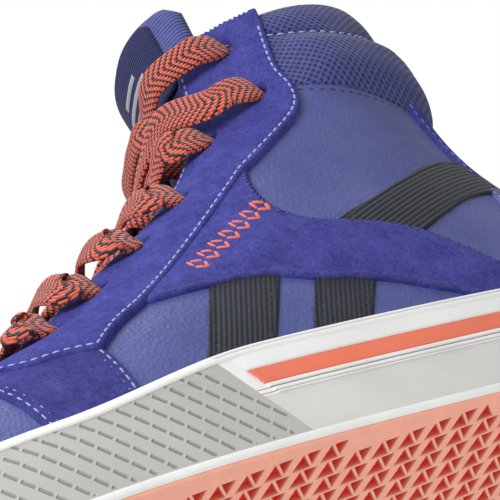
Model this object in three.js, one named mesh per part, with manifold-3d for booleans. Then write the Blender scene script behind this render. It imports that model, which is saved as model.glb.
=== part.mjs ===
// A left basketball high top on a cupsole, in millimetres.
// The toe points to -X, the heel to +X, the lateral (outer) side to -Y, and +Z is up.
// The tread stands on z = 0.
import * as THREE from "three";
import { mergeVertices } from "three/addons/utils/BufferGeometryUtils.js";
import Module from "manifold-3d";

const wasm = await Module();
wasm.setup();

// ---- Driving dimensions ----
const GAP = 0.35; // clearance between touching pieces
const LATERAL = -1; // the sign of y on each half
const MEDIAL = 1;
const LEATHER = 1.6; // thickness of the quarter leather
const OVERLAY = 1.5; // thickness of the sewn overlays
const TOE_LIFT = 7; // toe spring at the tip
const TOE_LIFT_FROM = -80; // x where the toe spring starts
const TOE_LIFT_RUN = 70;
const WALL_LOW = 29; // height of the cupsole's side wall along the forefoot
const WALL_HIGH = 35; // and from the midfoot to the heel
const WALL_INNER = 0.5; // the side wall's clearance over the upper
const STRIPE = { low: 21.5, high: 27, depth: 1.5, from: -6, slant: 4 };
const EYELET_R = 2.7;
const THROAT_FRONT = -46; // x of the throat's front end
const COLLAR_RING = 10; // the loop of the upper that is the collar's rim
const SECTIONS = 36; // divisions around the shoe
const ROWS = 12; // divisions from the sole to the collar

// The upper is a stack of tilted loops, from the sole up to the collar; the last one carries on into the
// tongue. Each has a front and a back point (x, z), its half widths on the lateral side at the ball, waist and
// heel, what the medial side differs by, how much of the toe spring it takes, and how far its middle dips.
const LOOPS = [
  { front: [-143, 21], back: [146, 20], half: [52, 41, 36], medial: [-3, -8, -1], lift: 1, dip: 0 },
  { front: [-147, 37], back: [150, 38], half: [52, 43, 37], medial: [-3, -7, -1], lift: 1, dip: 0 },
  { front: [-139, 51], back: [151, 55], half: [49, 43, 37], medial: [-3, -5, -1], lift: 1, dip: 0 },
  { front: [-118, 60], back: [149, 72], half: [43, 42, 36], medial: [-2, -4, 0], lift: 0.8, dip: 0 },
  { front: [-89, 67], back: [145, 88], half: [38, 41, 35], medial: [-1, -2, 0], lift: 0.5, dip: 0 },
  { front: [-58, 77], back: [141, 102], half: [37, 39, 34], medial: [0, -1, 0], lift: 0, dip: 0 },
  { front: [-27, 91], back: [139, 115], half: [37, 38, 34], medial: [0, 0, 0], lift: 0, dip: 0 },
  { front: [4, 106], back: [139, 128], half: [37, 38, 34], medial: [0, 0, 0], lift: 0, dip: 1 },
  { front: [32, 124], back: [140, 142], half: [37, 38, 34], medial: [0, 0, 0], lift: 0, dip: 2 },
  { front: [51, 149], back: [142, 158], half: [37, 38, 35], medial: [0, 0, 0], lift: 0, dip: 3 },
  { front: [63, 181], back: [145, 177], half: [38, 39, 36], medial: [0, 0, 0], lift: 0, dip: 6 },
  { front: [70, 208], back: [149, 192], half: [38, 40, 37], medial: [0, 0, 0], lift: 0, dip: 8 },
];
const WIDTH_AT = [0.28, 0.62, 0.88]; // where along a loop the three half widths are
const TOE_POWER = 0.76; // the loops are ovals; a lower power makes an end blunter
const HEEL_POWER = [0.46, 0.8]; // at the sole and from the ankle up
const ANKLE_LOOP = 6;

// The eyelets on each side, from the toe up: the loop they lie on and their angle on it in degrees.
const EYELETS = [
  [4.42, 54],
  [5.2, 54],
  [5.98, 55],
  [6.93, 54],
  [8.3, 47],
  [8.5, 69],
  [9.55, 58],
];

// Outlines of the panels in the side view, as (x, z).
const EYESTAY_REAR = [
  [98, 186], [93, 168], [89, 157], [85, 145], [84, 136], [81, 128], [75, 122], [63, 115], [48, 107],
];
const EYESTAY_LOWER = [[48, 107], [21, 88], [-8, 68], [-22, 60], [-34, 51]];
const EYESTAY_FRONT = [[-34, 51], [-44, 53], [-55, 54.5], [-63, 61], [-67, 70], [-67, 90]];
const TOE_OVERLAY_FRONT = [[-61, 26], [-64, 42], [-69, 54], [-77, 66], [-83, 84]];
const TOE_CAP_REAR = [[-96, 26], [-101, 42], [-110, 53], [-119, 60], [-124, 72]];
const SADDLE_TOP = [
  [50, 110], [46, 99], [46, 89], [50, 81.5], [58, 77.5], [72, 73.5], [84, 67], [96, 53], [108, 34],
];
const SADDLE_LOWER = [
  [94, 32], [84, 37.5], [72, 43], [62, 48.5], [50, 53], [40, 55.5], [32, 59], [22, 62.5], [-10, 66],
];
const BAND_TOP = [[48, 72], [62, 78.5], [79, 85], [97, 93], [118, 102], [165, 113]];
const BAND_LOWER = [[165, 95], [122, 84.5], [100, 75], [84, 67], [66, 59], [50, 54]];
const BACKSTAY_FRONT = [[104, 30], [111, 48], [121, 66], [127, 86], [129, 104], [127, 120], [124, 132]];
const MESH_LOWER = [[70, 142], [84, 137], [93, 133], [109, 130], [128, 127.5], [165, 126]];
const MESH_UPPER = [[165, 160], [130, 157.5], [116, 155], [100, 158], [88, 163], [72, 170]];
const PANELS = {
  front: [[-15, 30], [13, 70], [35, 70], [7, 30]],
  rear: [[19, 30], [43, 62], [63, 62], [39, 30]],
};

// ---- The upper's surface ----
const lift = (x) => (x < TOE_LIFT_FROM ? TOE_LIFT * ((TOE_LIFT_FROM - x) / TOE_LIFT_RUN) ** 2 : 0);
const mix = (a, b, t) => a + (b - a) * t;
const radians = (degrees) => (degrees * Math.PI) / 180;
const steps = (from, to, count) => Array.from({ length: count + 1 }, (_, k) => mix(from, to, k / count));
const smooth = (t) => {
  const s = Math.min(1, Math.max(0, t));
  return s * s * (3 - 2 * s);
};

function widthAt(t, w) {
  const [a, b, c] = WIDTH_AT;
  return (
    (w[0] * (t - b) * (t - c)) / ((a - b) * (a - c)) +
    (w[1] * (t - a) * (t - c)) / ((b - a) * (b - c)) +
    (w[2] * (t - a) * (t - b)) / ((c - a) * (c - b))
  );
}

// phi is 0 at the toe, a quarter turn on the lateral side and half a turn at the heel.
function loopPoint(index, phi) {
  const loop = LOOPS[index];
  const t = (1 - Math.cos(phi)) / 2;
  const s = Math.sin(phi);
  const half = s >= 0 ? loop.half : loop.half.map((w, k) => w + loop.medial[k]);
  const x = mix(loop.front[0], loop.back[0], t);
  const z = mix(loop.front[1], loop.back[1], t) + loop.lift * lift(x) - loop.dip * s * s;
  const heelPower = mix(...HEEL_POWER, smooth(index / ANKLE_LOOP));
  const power = mix(TOE_POWER, heelPower, smooth((t - 0.4) / 0.5));
  return new THREE.Vector3(x, -Math.sign(s) * Math.abs(s) ** power * widthAt(t, half), z);
}

// A point on the upper: ring 0 is its lower edge and COLLAR_RING its rim.
function surface(ring, phi) {
  const i = Math.min(LOOPS.length - 2, Math.max(0, Math.floor(ring)));
  const u = ring - i;
  const p1 = loopPoint(i, phi);
  const p2 = loopPoint(i + 1, phi);
  const p0 = i > 0 ? loopPoint(i - 1, phi) : p1.clone().multiplyScalar(2).sub(p2);
  const p3 = i < LOOPS.length - 2 ? loopPoint(i + 2, phi) : p2.clone().multiplyScalar(2).sub(p1);
  const blend = (a, b, c, d) =>
    0.5 * (2 * b + (c - a) * u + (2 * a - 5 * b + 4 * c - d) * u * u + (3 * b - a - 3 * c + d) * u ** 3);
  return new THREE.Vector3(
    blend(p0.x, p1.x, p2.x, p3.x),
    blend(p0.y, p1.y, p2.y, p3.y),
    blend(p0.z, p1.z, p2.z, p3.z),
  );
}

function outward(ring, phi) {
  const e = 1e-3;
  const up = surface(Math.min(ring + e, LOOPS.length - 1), phi).sub(surface(Math.max(ring - e, 0), phi));
  const around = surface(ring, phi + e).sub(surface(ring, phi - e));
  return around.cross(up).normalize();
}

const raised = (ring, phi, d) => surface(ring, phi).addScaledVector(outward(ring, phi), d);

// The angle at which a loop reaches y, on the front half of the shoe.
function angleAt(ring, y) {
  let low = 0;
  let high = Math.PI / 2;
  for (let k = 0; k < 30; k += 1) {
    const middle = (low + high) / 2;
    if (Math.abs(surface(ring, middle).y) < Math.abs(y)) low = middle;
    else high = middle;
  }
  return y <= 0 ? low : -low;
}

// The place on the front of the upper where a plane square to the throat, at the ring `near`, meets y.
function acrossThroat(near, along, y) {
  const slope = surface(near + 0.5, 0).sub(surface(near - 0.5, 0)).normalize();
  let low = 3;
  let high = LOOPS.length - 1;
  for (let k = 0; k < 24; k += 1) {
    const ring = (low + high) / 2;
    const here = surface(ring, angleAt(ring, y));
    if (here.sub(along).dot(slope) < 0) low = ring;
    else high = ring;
  }
  return [low, angleAt(low, y)];
}

// ---- Meshes and booleans ----
function meshOf(points, faces) {
  const geometry = new THREE.BufferGeometry();
  const flat = points.flatMap((p) => [p.x, p.y, p.z]);
  geometry.setAttribute("position", new THREE.Float32BufferAttribute(flat, 3));
  geometry.setIndex(faces.flat());
  return geometry;
}

function solid(geometry) {
  const bare = geometry.clone();
  bare.deleteAttribute("normal");
  bare.deleteAttribute("uv");
  const merged = mergeVertices(bare, 1e-4);
  const vertProperties = new Float32Array(merged.attributes.position.array);
  const triVerts = new Uint32Array(merged.index.array);
  return new wasm.Manifold(new wasm.Mesh({ numProp: 3, vertProperties, triVerts }));
}

// Keeps the largest body, since a cut can leave slivers.
function geometryOf(made) {
  const [largest] = made.decompose().sort((a, b) => b.volume() - a.volume());
  const mesh = largest.getMesh();
  const flat = new Float32Array(mesh.numVert * 3);
  for (let i = 0; i < mesh.numVert; i += 1) {
    flat.set(mesh.vertProperties.subarray(i * mesh.numProp, i * mesh.numProp + 3), i * 3);
  }
  const geometry = new THREE.BufferGeometry();
  geometry.setAttribute("position", new THREE.BufferAttribute(flat, 3));
  geometry.setIndex(new THREE.BufferAttribute(mesh.triVerts, 1));
  return geometry;
}

// A closed body between two sheets of points in rows and columns. If `closed`, the last column joins the first.
function between(outer, inner, closed) {
  const rows = outer.length;
  const columns = outer[0].length;
  const points = [...outer.flat(), ...inner.flat()];
  const back = rows * columns;
  const at = (i, j) => i * columns + (j % columns);
  const faces = [];
  const quad = (a, b, c, d) => faces.push([a, b, c], [a, c, d]);
  const last = closed ? columns : columns - 1;
  for (let j = 0; j < last; j += 1) {
    for (let i = 0; i < rows - 1; i += 1) {
      quad(at(i, j), at(i, j + 1), at(i + 1, j + 1), at(i + 1, j));
      quad(back + at(i, j), back + at(i + 1, j), back + at(i + 1, j + 1), back + at(i, j + 1));
    }
    quad(at(0, j), back + at(0, j), back + at(0, j + 1), at(0, j + 1));
    quad(at(rows - 1, j), at(rows - 1, j + 1), back + at(rows - 1, j + 1), back + at(rows - 1, j));
  }
  for (let i = 0; !closed && i < rows - 1; i += 1) {
    quad(at(i, 0), at(i + 1, 0), back + at(i + 1, 0), back + at(i, 0));
    quad(at(i, last), back + at(i, last), back + at(i + 1, last), at(i + 1, last));
  }
  const made = solid(meshOf(points, faces));
  return made.volume() > 0 ? made : solid(meshOf(points, faces.map(([a, b, c]) => [a, c, b])));
}

const around = steps(0, 2 * Math.PI, SECTIONS).slice(0, -1);
const upward = steps(0, COLLAR_RING, ROWS);

// A layer of the whole upper between two offsets, each a number or a function of the ring and angle.
function layer(inner, outer) {
  const offset = (d, ring, phi) => (typeof d === "function" ? d(ring, phi) : d);
  const sheet = (d) => upward.map((ring) => around.map((phi) => raised(ring, phi, offset(d, ring, phi))));
  return between(sheet(outer), sheet(inner), true);
}

function block(low, high) {
  const size = [0, 1, 2].map((k) => high[k] - low[k]);
  const geometry = new THREE.BoxGeometry(...size);
  geometry.translate(...[0, 1, 2].map((k) => low[k] + size[k] / 2));
  return solid(geometry);
}

// ---- Outlines in the side view ----
function grown(points, d) {
  const area = points.reduce((sum, [x, z], k) => {
    const [nx, nz] = points[(k + 1) % points.length];
    return sum + x * nz - nx * z;
  }, 0);
  const normals = points.map(([x, z], k) => {
    const [nx, nz] = points[(k + 1) % points.length];
    return new THREE.Vector2(nz - z, x - nx).normalize().multiplyScalar(Math.sign(area));
  });
  return points.map(([x, z], k) => {
    const before = normals[(k + points.length - 1) % points.length];
    const reach = d / Math.max(0.4, 1 + before.dot(normals[k]));
    const mitre = before.clone().add(normals[k]).multiplyScalar(reach);
    return [x + mitre.x, z + mitre.y];
  });
}

// A prism through the shoe from an outline in the side view; `side` limits it to one half.
const SIDE_REACH = 90;
function prism(points, side = 0, grow = 0) {
  const shape = new THREE.Shape(grown(points, grow).map(([x, z]) => new THREE.Vector2(x, z)));
  const geometry = new THREE.ExtrudeGeometry(shape, {
    depth: side === 0 ? 2 * SIDE_REACH : SIDE_REACH - GAP / 2,
    bevelEnabled: false,
  });
  geometry.rotateX(Math.PI / 2);
  if (side === LATERAL) geometry.translate(0, -GAP / 2, 0);
  else geometry.translate(0, SIDE_REACH, 0);
  return solid(geometry);
}

function curve(points, count = 8) {
  const spline = new THREE.SplineCurve(points.map(([x, z]) => new THREE.Vector2(x, z)));
  return spline.getPoints(count).map((p) => [p.x, p.y]);
}

const REAR = 165; // beyond the heel
const HIGH = 230; // above the collar
const LOW = 15; // below the sole's top edge
const outlines = {
  eyestay: [
    ...curve(EYESTAY_REAR), ...curve(EYESTAY_LOWER, 4), ...curve(EYESTAY_FRONT, 5), [-67, HIGH], [98, HIGH],
  ],
  toe_overlay: [
    [-33, LOW], [-33, 51], [-20, 90], [-83, 90], ...curve(TOE_OVERLAY_FRONT, 5).reverse(), [-61, LOW],
  ],
  toe_cap: [[-96, LOW], ...curve(TOE_CAP_REAR, 5), [-170, 72], [-170, LOW]],
  saddle: [
    [108, LOW], ...curve(SADDLE_TOP).reverse(), [-10, 110], ...curve(SADDLE_LOWER).reverse(), [94, LOW],
  ],
  ankle_band: [...curve(BAND_TOP, 5), ...curve(BAND_LOWER, 5)],
  backstay: [...curve(BACKSTAY_FRONT, 6), [REAR, 132], [REAR, LOW], [104, LOW]],
  collar_mesh: [...curve(MESH_LOWER, 5), ...curve(MESH_UPPER, 5)],
  collar_top: [...curve(MESH_UPPER, 5), [72, HIGH], [REAR, HIGH]],
  vamp: [[-48, 0], [-52, 40], [-55, HIGH], [-170, HIGH], [-170, 0]],
};

// ---- The layers of the upper ----
// The collar's padding swells between its two seams, behind the eyestay.
function padding(ring, phi) {
  const p = surface(ring, phi);
  const up = smooth((p.z - 127) / 14) * smooth((161 - p.z) / 14);
  return 3.2 * up * smooth((p.x - 84) / 14);
}

const base = layer(
  (ring, phi) => padding(ring, phi) - LEATHER,
  (ring, phi) => padding(ring, phi),
);
const overlay = layer(
  (ring, phi) => padding(ring, phi) + GAP,
  (ring, phi) => padding(ring, phi) + GAP + OVERLAY,
);
const stiffener = layer(-3.2, -LEATHER - GAP);
const cushion = layer(-3.2, (ring, phi) => padding(ring, phi) - LEATHER - GAP);
const liner = layer(-4.7, -3.55);

// ---- The cupsole ----
const wallTop = (x) => mix(WALL_LOW, WALL_HIGH, smooth((x + 60) / 62));

// A point on the sole's side at a height above the toe spring, offset outward in plan from the upper.
function wallPoint(phi, height, d) {
  const ring = Math.max(0, (height - 20.5) / 16.5);
  const e = 1e-3;
  const along = surface(ring, phi + e).sub(surface(ring, phi - e));
  const p = surface(ring, phi);
  const springs = lift(p.x);
  p.addScaledVector(new THREE.Vector3(along.y, -along.x, 0).normalize(), d);
  p.z = height + springs;
  return p;
}

// A band around the sole between two heights, which may be functions of x, and two offsets.
function wallBand(profile, inner) {
  const level = (height, phi) => (typeof height === "function" ? height(surface(1, phi).x) : height);
  const row = ([height, d]) => around.map((phi) => wallPoint(phi, level(height, phi), d));
  const sheet = (rows) => rows.map(row);
  return between(sheet(profile), sheet(profile.map(([height]) => [height, inner])), true);
}

// A flat piece filling the footprint between two heights, inset by some distance.
function slab(inset, low, high) {
  const sheet = (height) =>
    around.slice(1, SECTIONS / 2).map((phi) => {
      const a = wallPoint(phi, 22, -inset);
      const b = wallPoint(-phi, 22, -inset);
      const level = height + lift((a.x + b.x) / 2);
      return [0, 0.5, 1].map((t) => new THREE.Vector3(mix(a.x, b.x, t), mix(a.y, b.y, t), level));
    });
  return between(sheet(high), sheet(low), false);
}

const wallProfile = [
  [1, 3.4],
  [4, 4.6],
  [STRIPE.low, 5.4],
  [STRIPE.high, 5.3],
  [wallTop, 4.6],
];
const stripeRegion = (grow) =>
  prism([[STRIPE.from, STRIPE.high + 2], [REAR + 5, STRIPE.high + 2], [REAR + 5, STRIPE.low - 2],
    [STRIPE.from + STRIPE.slant, STRIPE.low - 2]], 0, grow);
const stripeBand = (grow, depth, reach) =>
  wallBand([[STRIPE.low - grow, reach], [STRIPE.high + grow, reach]], 5.3 - depth)
    .intersect(stripeRegion(grow));
const belowSole = wallBand([[-2, 14], [(x) => wallTop(x) + GAP, 14]], -1.2);

const cupsole = wallBand(wallProfile, WALL_INNER).subtract(stripeBand(GAP, STRIPE.depth + GAP, 9));
const stripe = stripeBand(0, STRIPE.depth, 5.6);
let outsole = slab(0, 0, 5);
for (const x of [-118, -92, -66, -40, -12, 48, 80, 112]) {
  outsole = outsole.subtract(block([x, -70, -5], [x + 2.5, 70, 1.6 + lift(x)]));
}

// ---- Throat and eyelets ----
function throat(front, width, upper) {
  const shape = new THREE.Shape();
  shape.moveTo(100, -upper);
  shape.lineTo(40, -width);
  shape.lineTo(front + width, -width);
  shape.absarc(front + width, 0, width, -Math.PI / 2, Math.PI / 2, true);
  shape.lineTo(40, width);
  shape.lineTo(100, upper);
  const geometry = new THREE.ExtrudeGeometry(shape, { depth: 200, bevelEnabled: false, curveSegments: 5 });
  geometry.translate(0, 0, 60);
  return solid(geometry);
}

const eyeletAt = (k, side) => ({ ring: EYELETS[k][0], phi: -side * radians(EYELETS[k][1]) });

const turnFromY = (to) => new THREE.Quaternion().setFromUnitVectors(new THREE.Vector3(0, 1, 0), to);

function eyeletHoles() {
  const holes = [];
  for (const side of [LATERAL, MEDIAL]) {
    for (let k = 0; k < EYELETS.length; k += 1) {
      const { ring, phi } = eyeletAt(k, side);
      const geometry = new THREE.CylinderGeometry(EYELET_R, EYELET_R, 16, 8);
      geometry.applyQuaternion(turnFromY(outward(ring, phi)));
      geometry.translate(...surface(ring, phi).toArray());
      holes.push(solid(geometry));
    }
  }
  return wasm.Manifold.union(holes);
}

const opening = throat(THROAT_FRONT, 20, 25).add(eyeletHoles());
const facing = [[-50, 66], [-26, 69], [-8, 76], [13, 87], [36, 101], [60, 119], [84, 128], [91, 150], [96, HIGH],
  [-50, HIGH]];

// ---- The tongue ----
const TONGUE_HALF = 28;
function tongueSheet(d, from, to, half, rows = 10, columns = 8) {
  return steps(from, to, rows).map((ring) => {
    const flare = 6 * smooth((ring - 9.2) / 1.8);
    return steps(-half, half, columns).map((y) => raised(ring, angleAt(ring, y), d + flare));
  });
}
const tonguePiece = (outer, inner, from, to, half, rows, columns) =>
  between(
    tongueSheet(outer, from, to, half, rows, columns),
    tongueSheet(inner, from, to, half, rows, columns),
    false,
  );

// ---- The lace ----
const LACE = { wide: 7, thick: 1.4, bunchedWide: 4.2, bunchedThick: 2.3 };
const OVER = 3.3; // the lace's centre where it lies on the eyestay; it arches above that between eyelets
const UNDER = -3.1; // and behind it

// The lace's middle line is a list of stations: a point, the surface's normal there and the lace's flatness.
function station(ring, phi, d, flat) {
  return { point: raised(ring, phi, d), normal: outward(ring, phi), flat };
}

function nearEyelet(k, side, from, d, flat) {
  const { ring, phi } = eyeletAt(k, side);
  const e = 1e-3;
  const perRadian = surface(ring, phi + e).distanceTo(surface(ring, phi - e)) / (2 * e);
  return station(ring, phi - (Math.sign(phi) * from) / perRadian, d, flat);
}

// Into an eyelet from outside and back towards the throat behind the eyestay.
const DIVE = [
  [9, OVER + 6, 1], [5.4, OVER + 4.4, 0.9], [2.8, OVER + 2, 0.5], [0.9, 2.8, 0.1], [0.1, 1, 0], [0, -1, 0],
  [0.5, -2.4, 0], [2.4, -3.3, 0], [5, UNDER, 0.5], [9, UNDER, 1],
];
const SET_BACK = 60; // past this angle an eyelet is far from the throat, and the lace follows the upper
function dive(k, side) {
  const far = EYELETS[k][1] > SET_BACK;
  const places = far ? [[16, OVER + 6.5, 1], ...DIVE, [16, UNDER, 1]] : DIVE;
  return places.map(([from, d, flat]) => nearEyelet(k, side, from, d, flat));
}

// Across the throat, from under the eyestay on one side to over it on the other.
// One half of the lace crosses under the other.
function crossing(k, side, high) {
  const from = eyeletAt(k, side);
  const to = eyeletAt(k + 1, -side);
  const start = surface(from.ring, from.phi);
  const end = surface(to.ring, to.phi);
  const middle = high ? 9 : 5.6;
  const levels = [[18, UNDER], [10, middle], [0, middle], [-10, middle], [-19, OVER + 6.2]];
  const near = (from.ring + to.ring) / 2;
  return levels.map(([reach, d]) => {
    const y = side * reach;
    const along = start.clone().lerp(end, (start.y - y) / (start.y - end.y));
    return station(...acrossThroat(near, along, y), d, 1);
  });
}

// The end of the lace is tucked down inside, beside the tongue.
function tail(side) {
  const places = [
    [9.35, 61, -5.2, 0.3], [9.1, 65, -7.2, 0.8], [8.7, 69, -7.6, 1], [8.1, 71, -7.6, 1], [7.5, 72, -7.6, 0.8],
  ];
  return places.map(([ring, degrees, d, flat]) => station(ring, -side * radians(degrees), d, flat));
}

function halfLace(side, high) {
  const stations = dive(0, side);
  let at = side;
  for (let k = 0; k < EYELETS.length - 1; k += 1) {
    stations.push(...crossing(k, at, high));
    at = -at;
    stations.push(...dive(k + 1, at));
  }
  return [...stations.slice(0, -2), ...tail(at)];
}

function bar() {
  const { ring, phi } = eyeletAt(0, LATERAL);
  const along = surface(ring, phi);
  return [19, 10, 0, -10, -19].map((y) => {
    return station(...acrossThroat(ring, along, y), 3.4 + Math.abs(y) * 0.2, 1);
  });
}

// A flat six-sided section swept along the stations.
function ribbon(stations) {
  let across = null;
  const sections = stations.map((s, k) => {
    const before = stations[Math.max(0, k - 1)].point;
    const after = stations[Math.min(stations.length - 1, k + 1)].point;
    const tangent = after.clone().sub(before).normalize();
    const wanted = s.normal.clone().cross(tangent);
    if (across === null) across = wanted.clone();
    else {
      const clear = wanted.length() ** 2;
      if (wanted.dot(across) < 0) wanted.negate();
      across = across.clone().multiplyScalar(1.02 - clear).add(wanted);
    }
    across.addScaledVector(tangent, -across.dot(tangent)).normalize();
    const up = tangent.clone().cross(across);
    const w = mix(LACE.bunchedWide, LACE.wide, s.flat) / 2;
    const t = mix(LACE.bunchedThick, LACE.thick, s.flat) / 2;
    const corner = w - t * 0.9;
    const section = [[w, 0], [corner, t], [-corner, t], [-w, 0], [-corner, -t], [corner, -t]];
    return section.map(([a, b]) => s.point.clone().addScaledVector(across, a).addScaledVector(up, b));
  });
  const points = sections.flat();
  const faces = [];
  for (let k = 0; k < sections.length - 1; k += 1) {
    for (let j = 0; j < 6; j += 1) {
      const a = k * 6 + j;
      const b = k * 6 + ((j + 1) % 6);
      faces.push([a, b, b + 6], [a, b + 6, a + 6]);
    }
  }
  const end = points.length - 6;
  for (let j = 1; j < 5; j += 1) faces.push([0, j + 1, j], [end, end + j, end + j + 1]);
  const made = solid(meshOf(points, faces));
  return made.volume() > 0 ? made : solid(meshOf(points, faces.map(([a, b, c]) => [a, c, b])));
}

const lateralHalf = halfLace(LATERAL, false).reverse();
const medialHalf = halfLace(MEDIAL, true);
const lacePath = [...lateralHalf, ...bar().reverse(), ...medialHalf];

function aglet(end, before) {
  const direction = end.clone().sub(before).normalize();
  const geometry = new THREE.CylinderGeometry(1.7, 1.7, 16, 10);
  geometry.applyQuaternion(turnFromY(direction));
  geometry.translate(...end.clone().addScaledVector(direction, 8 + GAP).toArray());
  return solid(geometry);
}

// ---- The pull tab: a loop of webbing at the back of the collar ----
function pullTab() {
  const profile = (grow) => {
    const shape = new THREE.Shape();
    const against = [7.95, 8.4, 8.9, 9.4, 9.85].map((ring) => {
      const p = raised(ring, Math.PI, padding(ring, Math.PI) + 2.1);
      return [p.x, p.z];
    });
    const [lowX, lowZ] = against[0];
    const [highX, highZ] = against.at(-1);
    const points = [...against, [highX + 2, highZ + 4.5], [highX + 6, highZ + 3.5], [highX + 7.5, highZ - 2],
      [lowX + 7, lowZ + 9], [lowX + 3, lowZ + 1]];
    grown(points, grow).forEach(([x, z], k) => (k ? shape.lineTo(x, z) : shape.moveTo(x, z)));
    return shape;
  };
  const extruded = (shape, half) => {
    const geometry = new THREE.ExtrudeGeometry(shape, { depth: 2 * half, bevelEnabled: false });
    geometry.rotateX(Math.PI / 2);
    geometry.translate(0, half, 0);
    return solid(geometry);
  };
  return extruded(profile(1.6), 9).subtract(extruded(profile(0.1), 12));
}

// ---- Assembly ----
const covered = [];
// A sewn overlay: its outline, less the overlays already laid over it and the sole.
function sewn(outline, side = 0) {
  let made = overlay.intersect(prism(outline, side)).subtract(opening).subtract(belowSole);
  for (const upper of covered) made = made.subtract(prism(upper, 0, GAP));
  return made;
}

const pieces = {};
pieces.outsole = outsole;
pieces.midsole_foam = slab(0, 5 + GAP, 17);
pieces.insole_board = slab(0.3, 17 + GAP, 19.6);
pieces.sockliner = slab(6.2, 21.5, 26);
pieces.cupsole_wall = cupsole;
pieces.cupsole_stripe = stripe;

const upperBase = base.subtract(opening);
pieces.vamp = upperBase.intersect(prism(outlines.vamp));
const quarter = upperBase
  .subtract(prism(outlines.vamp, 0, GAP))
  .subtract(prism(outlines.collar_mesh, 0, GAP))
  .subtract(prism(outlines.collar_top, 0, GAP));
pieces.quarter_lateral = quarter.intersect(block([-200, -100, 0], [200, -GAP / 2, 250]));
pieces.quarter_medial = quarter.intersect(block([-200, GAP / 2, 0], [200, 100, 250]));
pieces.collar_mesh = upperBase.intersect(prism(outlines.collar_mesh));
pieces.collar_top = upperBase
  .intersect(prism(outlines.collar_top))
  .subtract(prism(outlines.collar_mesh, 0, GAP));
pieces.collar_foam = cushion
  .intersect(prism([[92, HIGH], [REAR, HIGH], [REAR, 124], [95, 130]]))
  .subtract(opening);
pieces.heel_counter = stiffener.intersect(prism([[88, 0], [96, 60], [108, 100], [REAR, 112], [REAR, 0]]));
pieces.toe_puff = stiffener.intersect(prism([[-98, 0], [-103, 40], [-118, 90], [-170, 90], [-170, 0]]));
pieces.lining = liner.subtract(opening).subtract(prism(facing));

pieces.eyestay = sewn(outlines.eyestay);
covered.push(outlines.eyestay);
pieces.toe_overlay = sewn(outlines.toe_overlay);
pieces.toe_cap = sewn(outlines.toe_cap);
pieces.saddle_lateral = sewn(outlines.saddle, LATERAL);
pieces.saddle_medial = sewn(outlines.saddle, MEDIAL);
covered.push(outlines.saddle);
pieces.ankle_band = sewn(outlines.ankle_band);
for (const [name, outline] of Object.entries(PANELS)) {
  pieces[`side_panel_${name}_lateral`] = sewn(outline, LATERAL);
  pieces[`side_panel_${name}_medial`] = sewn(outline, MEDIAL);
}
covered.push(outlines.ankle_band);
const backstay = sewn(outlines.backstay).subtract(prism(outlines.collar_mesh, 0, GAP));
pieces.backstay_lower = backstay.intersect(block([0, -100, 0], [200, 100, 96]));
pieces.backstay_upper = backstay.intersect(block([0, -100, 96], [200, 100, 250]));

pieces.tongue_face = tonguePiece(-5.1, -6.3, 4.25, 11, TONGUE_HALF);
pieces.tongue_foam = tonguePiece(-6.7, -10.6, 4.25, 11, TONGUE_HALF);
pieces.tongue_lining = tonguePiece(-11, -12, 4.25, 11, TONGUE_HALF);
pieces.tongue_patch = tonguePiece(-3.55, -4.75, 9.75, 10.8, 20, 4, 6);
pieces.tongue_badge = tonguePiece(-2.5, -3.2, 10, 10.5, 11, 2, 4);

pieces.lace = ribbon(lacePath);
pieces.aglet_lateral = aglet(lacePath[0].point, lacePath[1].point);
pieces.aglet_medial = aglet(lacePath.at(-1).point, lacePath.at(-2).point);
pieces.heel_pull_tab = pullTab();

// ---- Colours and the finished group ----
const METALNESS = 0; // nothing on the shoe is metal
const MATERIALS = {
  leather: { color: 0x5f69a5, roughness: 0.5 },
  suede: { color: 0x4b48a5, roughness: 0.95 },
  dark: { color: 0x2d3441, roughness: 0.65 },
  mesh: { color: 0x4b4b96, roughness: 0.8 },
  weave: { color: 0xf08c73, roughness: 0.75 },
  coral: { color: 0xf08c73, roughness: 0.5 },
  white: { color: 0xd7d7d4, roughness: 0.55 },
  board: { color: 0xb9a98c, roughness: 0.9 },
  navy: { color: 0x2d2d69, roughness: 0.85 },
  grey: { color: 0xb9b9be, roughness: 0.9 },
  plastic: { color: 0xd8d0c0, roughness: 0.25 },
};
const FINISH = {
  outsole: "coral", cupsole_stripe: "coral", lace: "weave", cupsole_wall: "white", midsole_foam: "white",
  insole_board: "board", sockliner: "navy", vamp: "leather", quarter_lateral: "leather", quarter_medial: "leather",
  collar_mesh: "mesh", collar_top: "leather", collar_foam: "grey", heel_counter: "board", toe_puff: "board",
  lining: "navy", ankle_band: "dark", heel_pull_tab: "dark", tongue_face: "leather", tongue_foam: "grey",
  tongue_lining: "navy", tongue_patch: "navy", tongue_badge: "grey", aglet_lateral: "plastic", aglet_medial: "plastic",
};

const shoe = new THREE.Group();
shoe.name = "basketball_high_top";
const box = new THREE.Box3();
for (const [name, made] of Object.entries(pieces)) {
  const geometry = geometryOf(made);
  geometry.computeBoundingBox();
  box.union(geometry.boundingBox);
  const finish = FINISH[name] ?? (name.startsWith("side_panel") ? "dark" : "suede");
  const material = new THREE.MeshStandardMaterial({ ...MATERIALS[finish], metalness: METALNESS });
  const mesh = new THREE.Mesh(geometry, material);
  mesh.name = name;
  shoe.add(mesh);
}

// The origin is at the middle of the footprint, on the floor.
const shift = [-(box.min.x + box.max.x) / 2, -(box.min.y + box.max.y) / 2, -box.min.z];
for (const mesh of shoe.children) mesh.geometry.translate(...shift);
export default shoe;
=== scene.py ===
import math

import bmesh
import bpy
import numpy as np
from mathutils import Matrix, Vector
from mathutils.geometry import delaunay_2d_cdt


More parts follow.
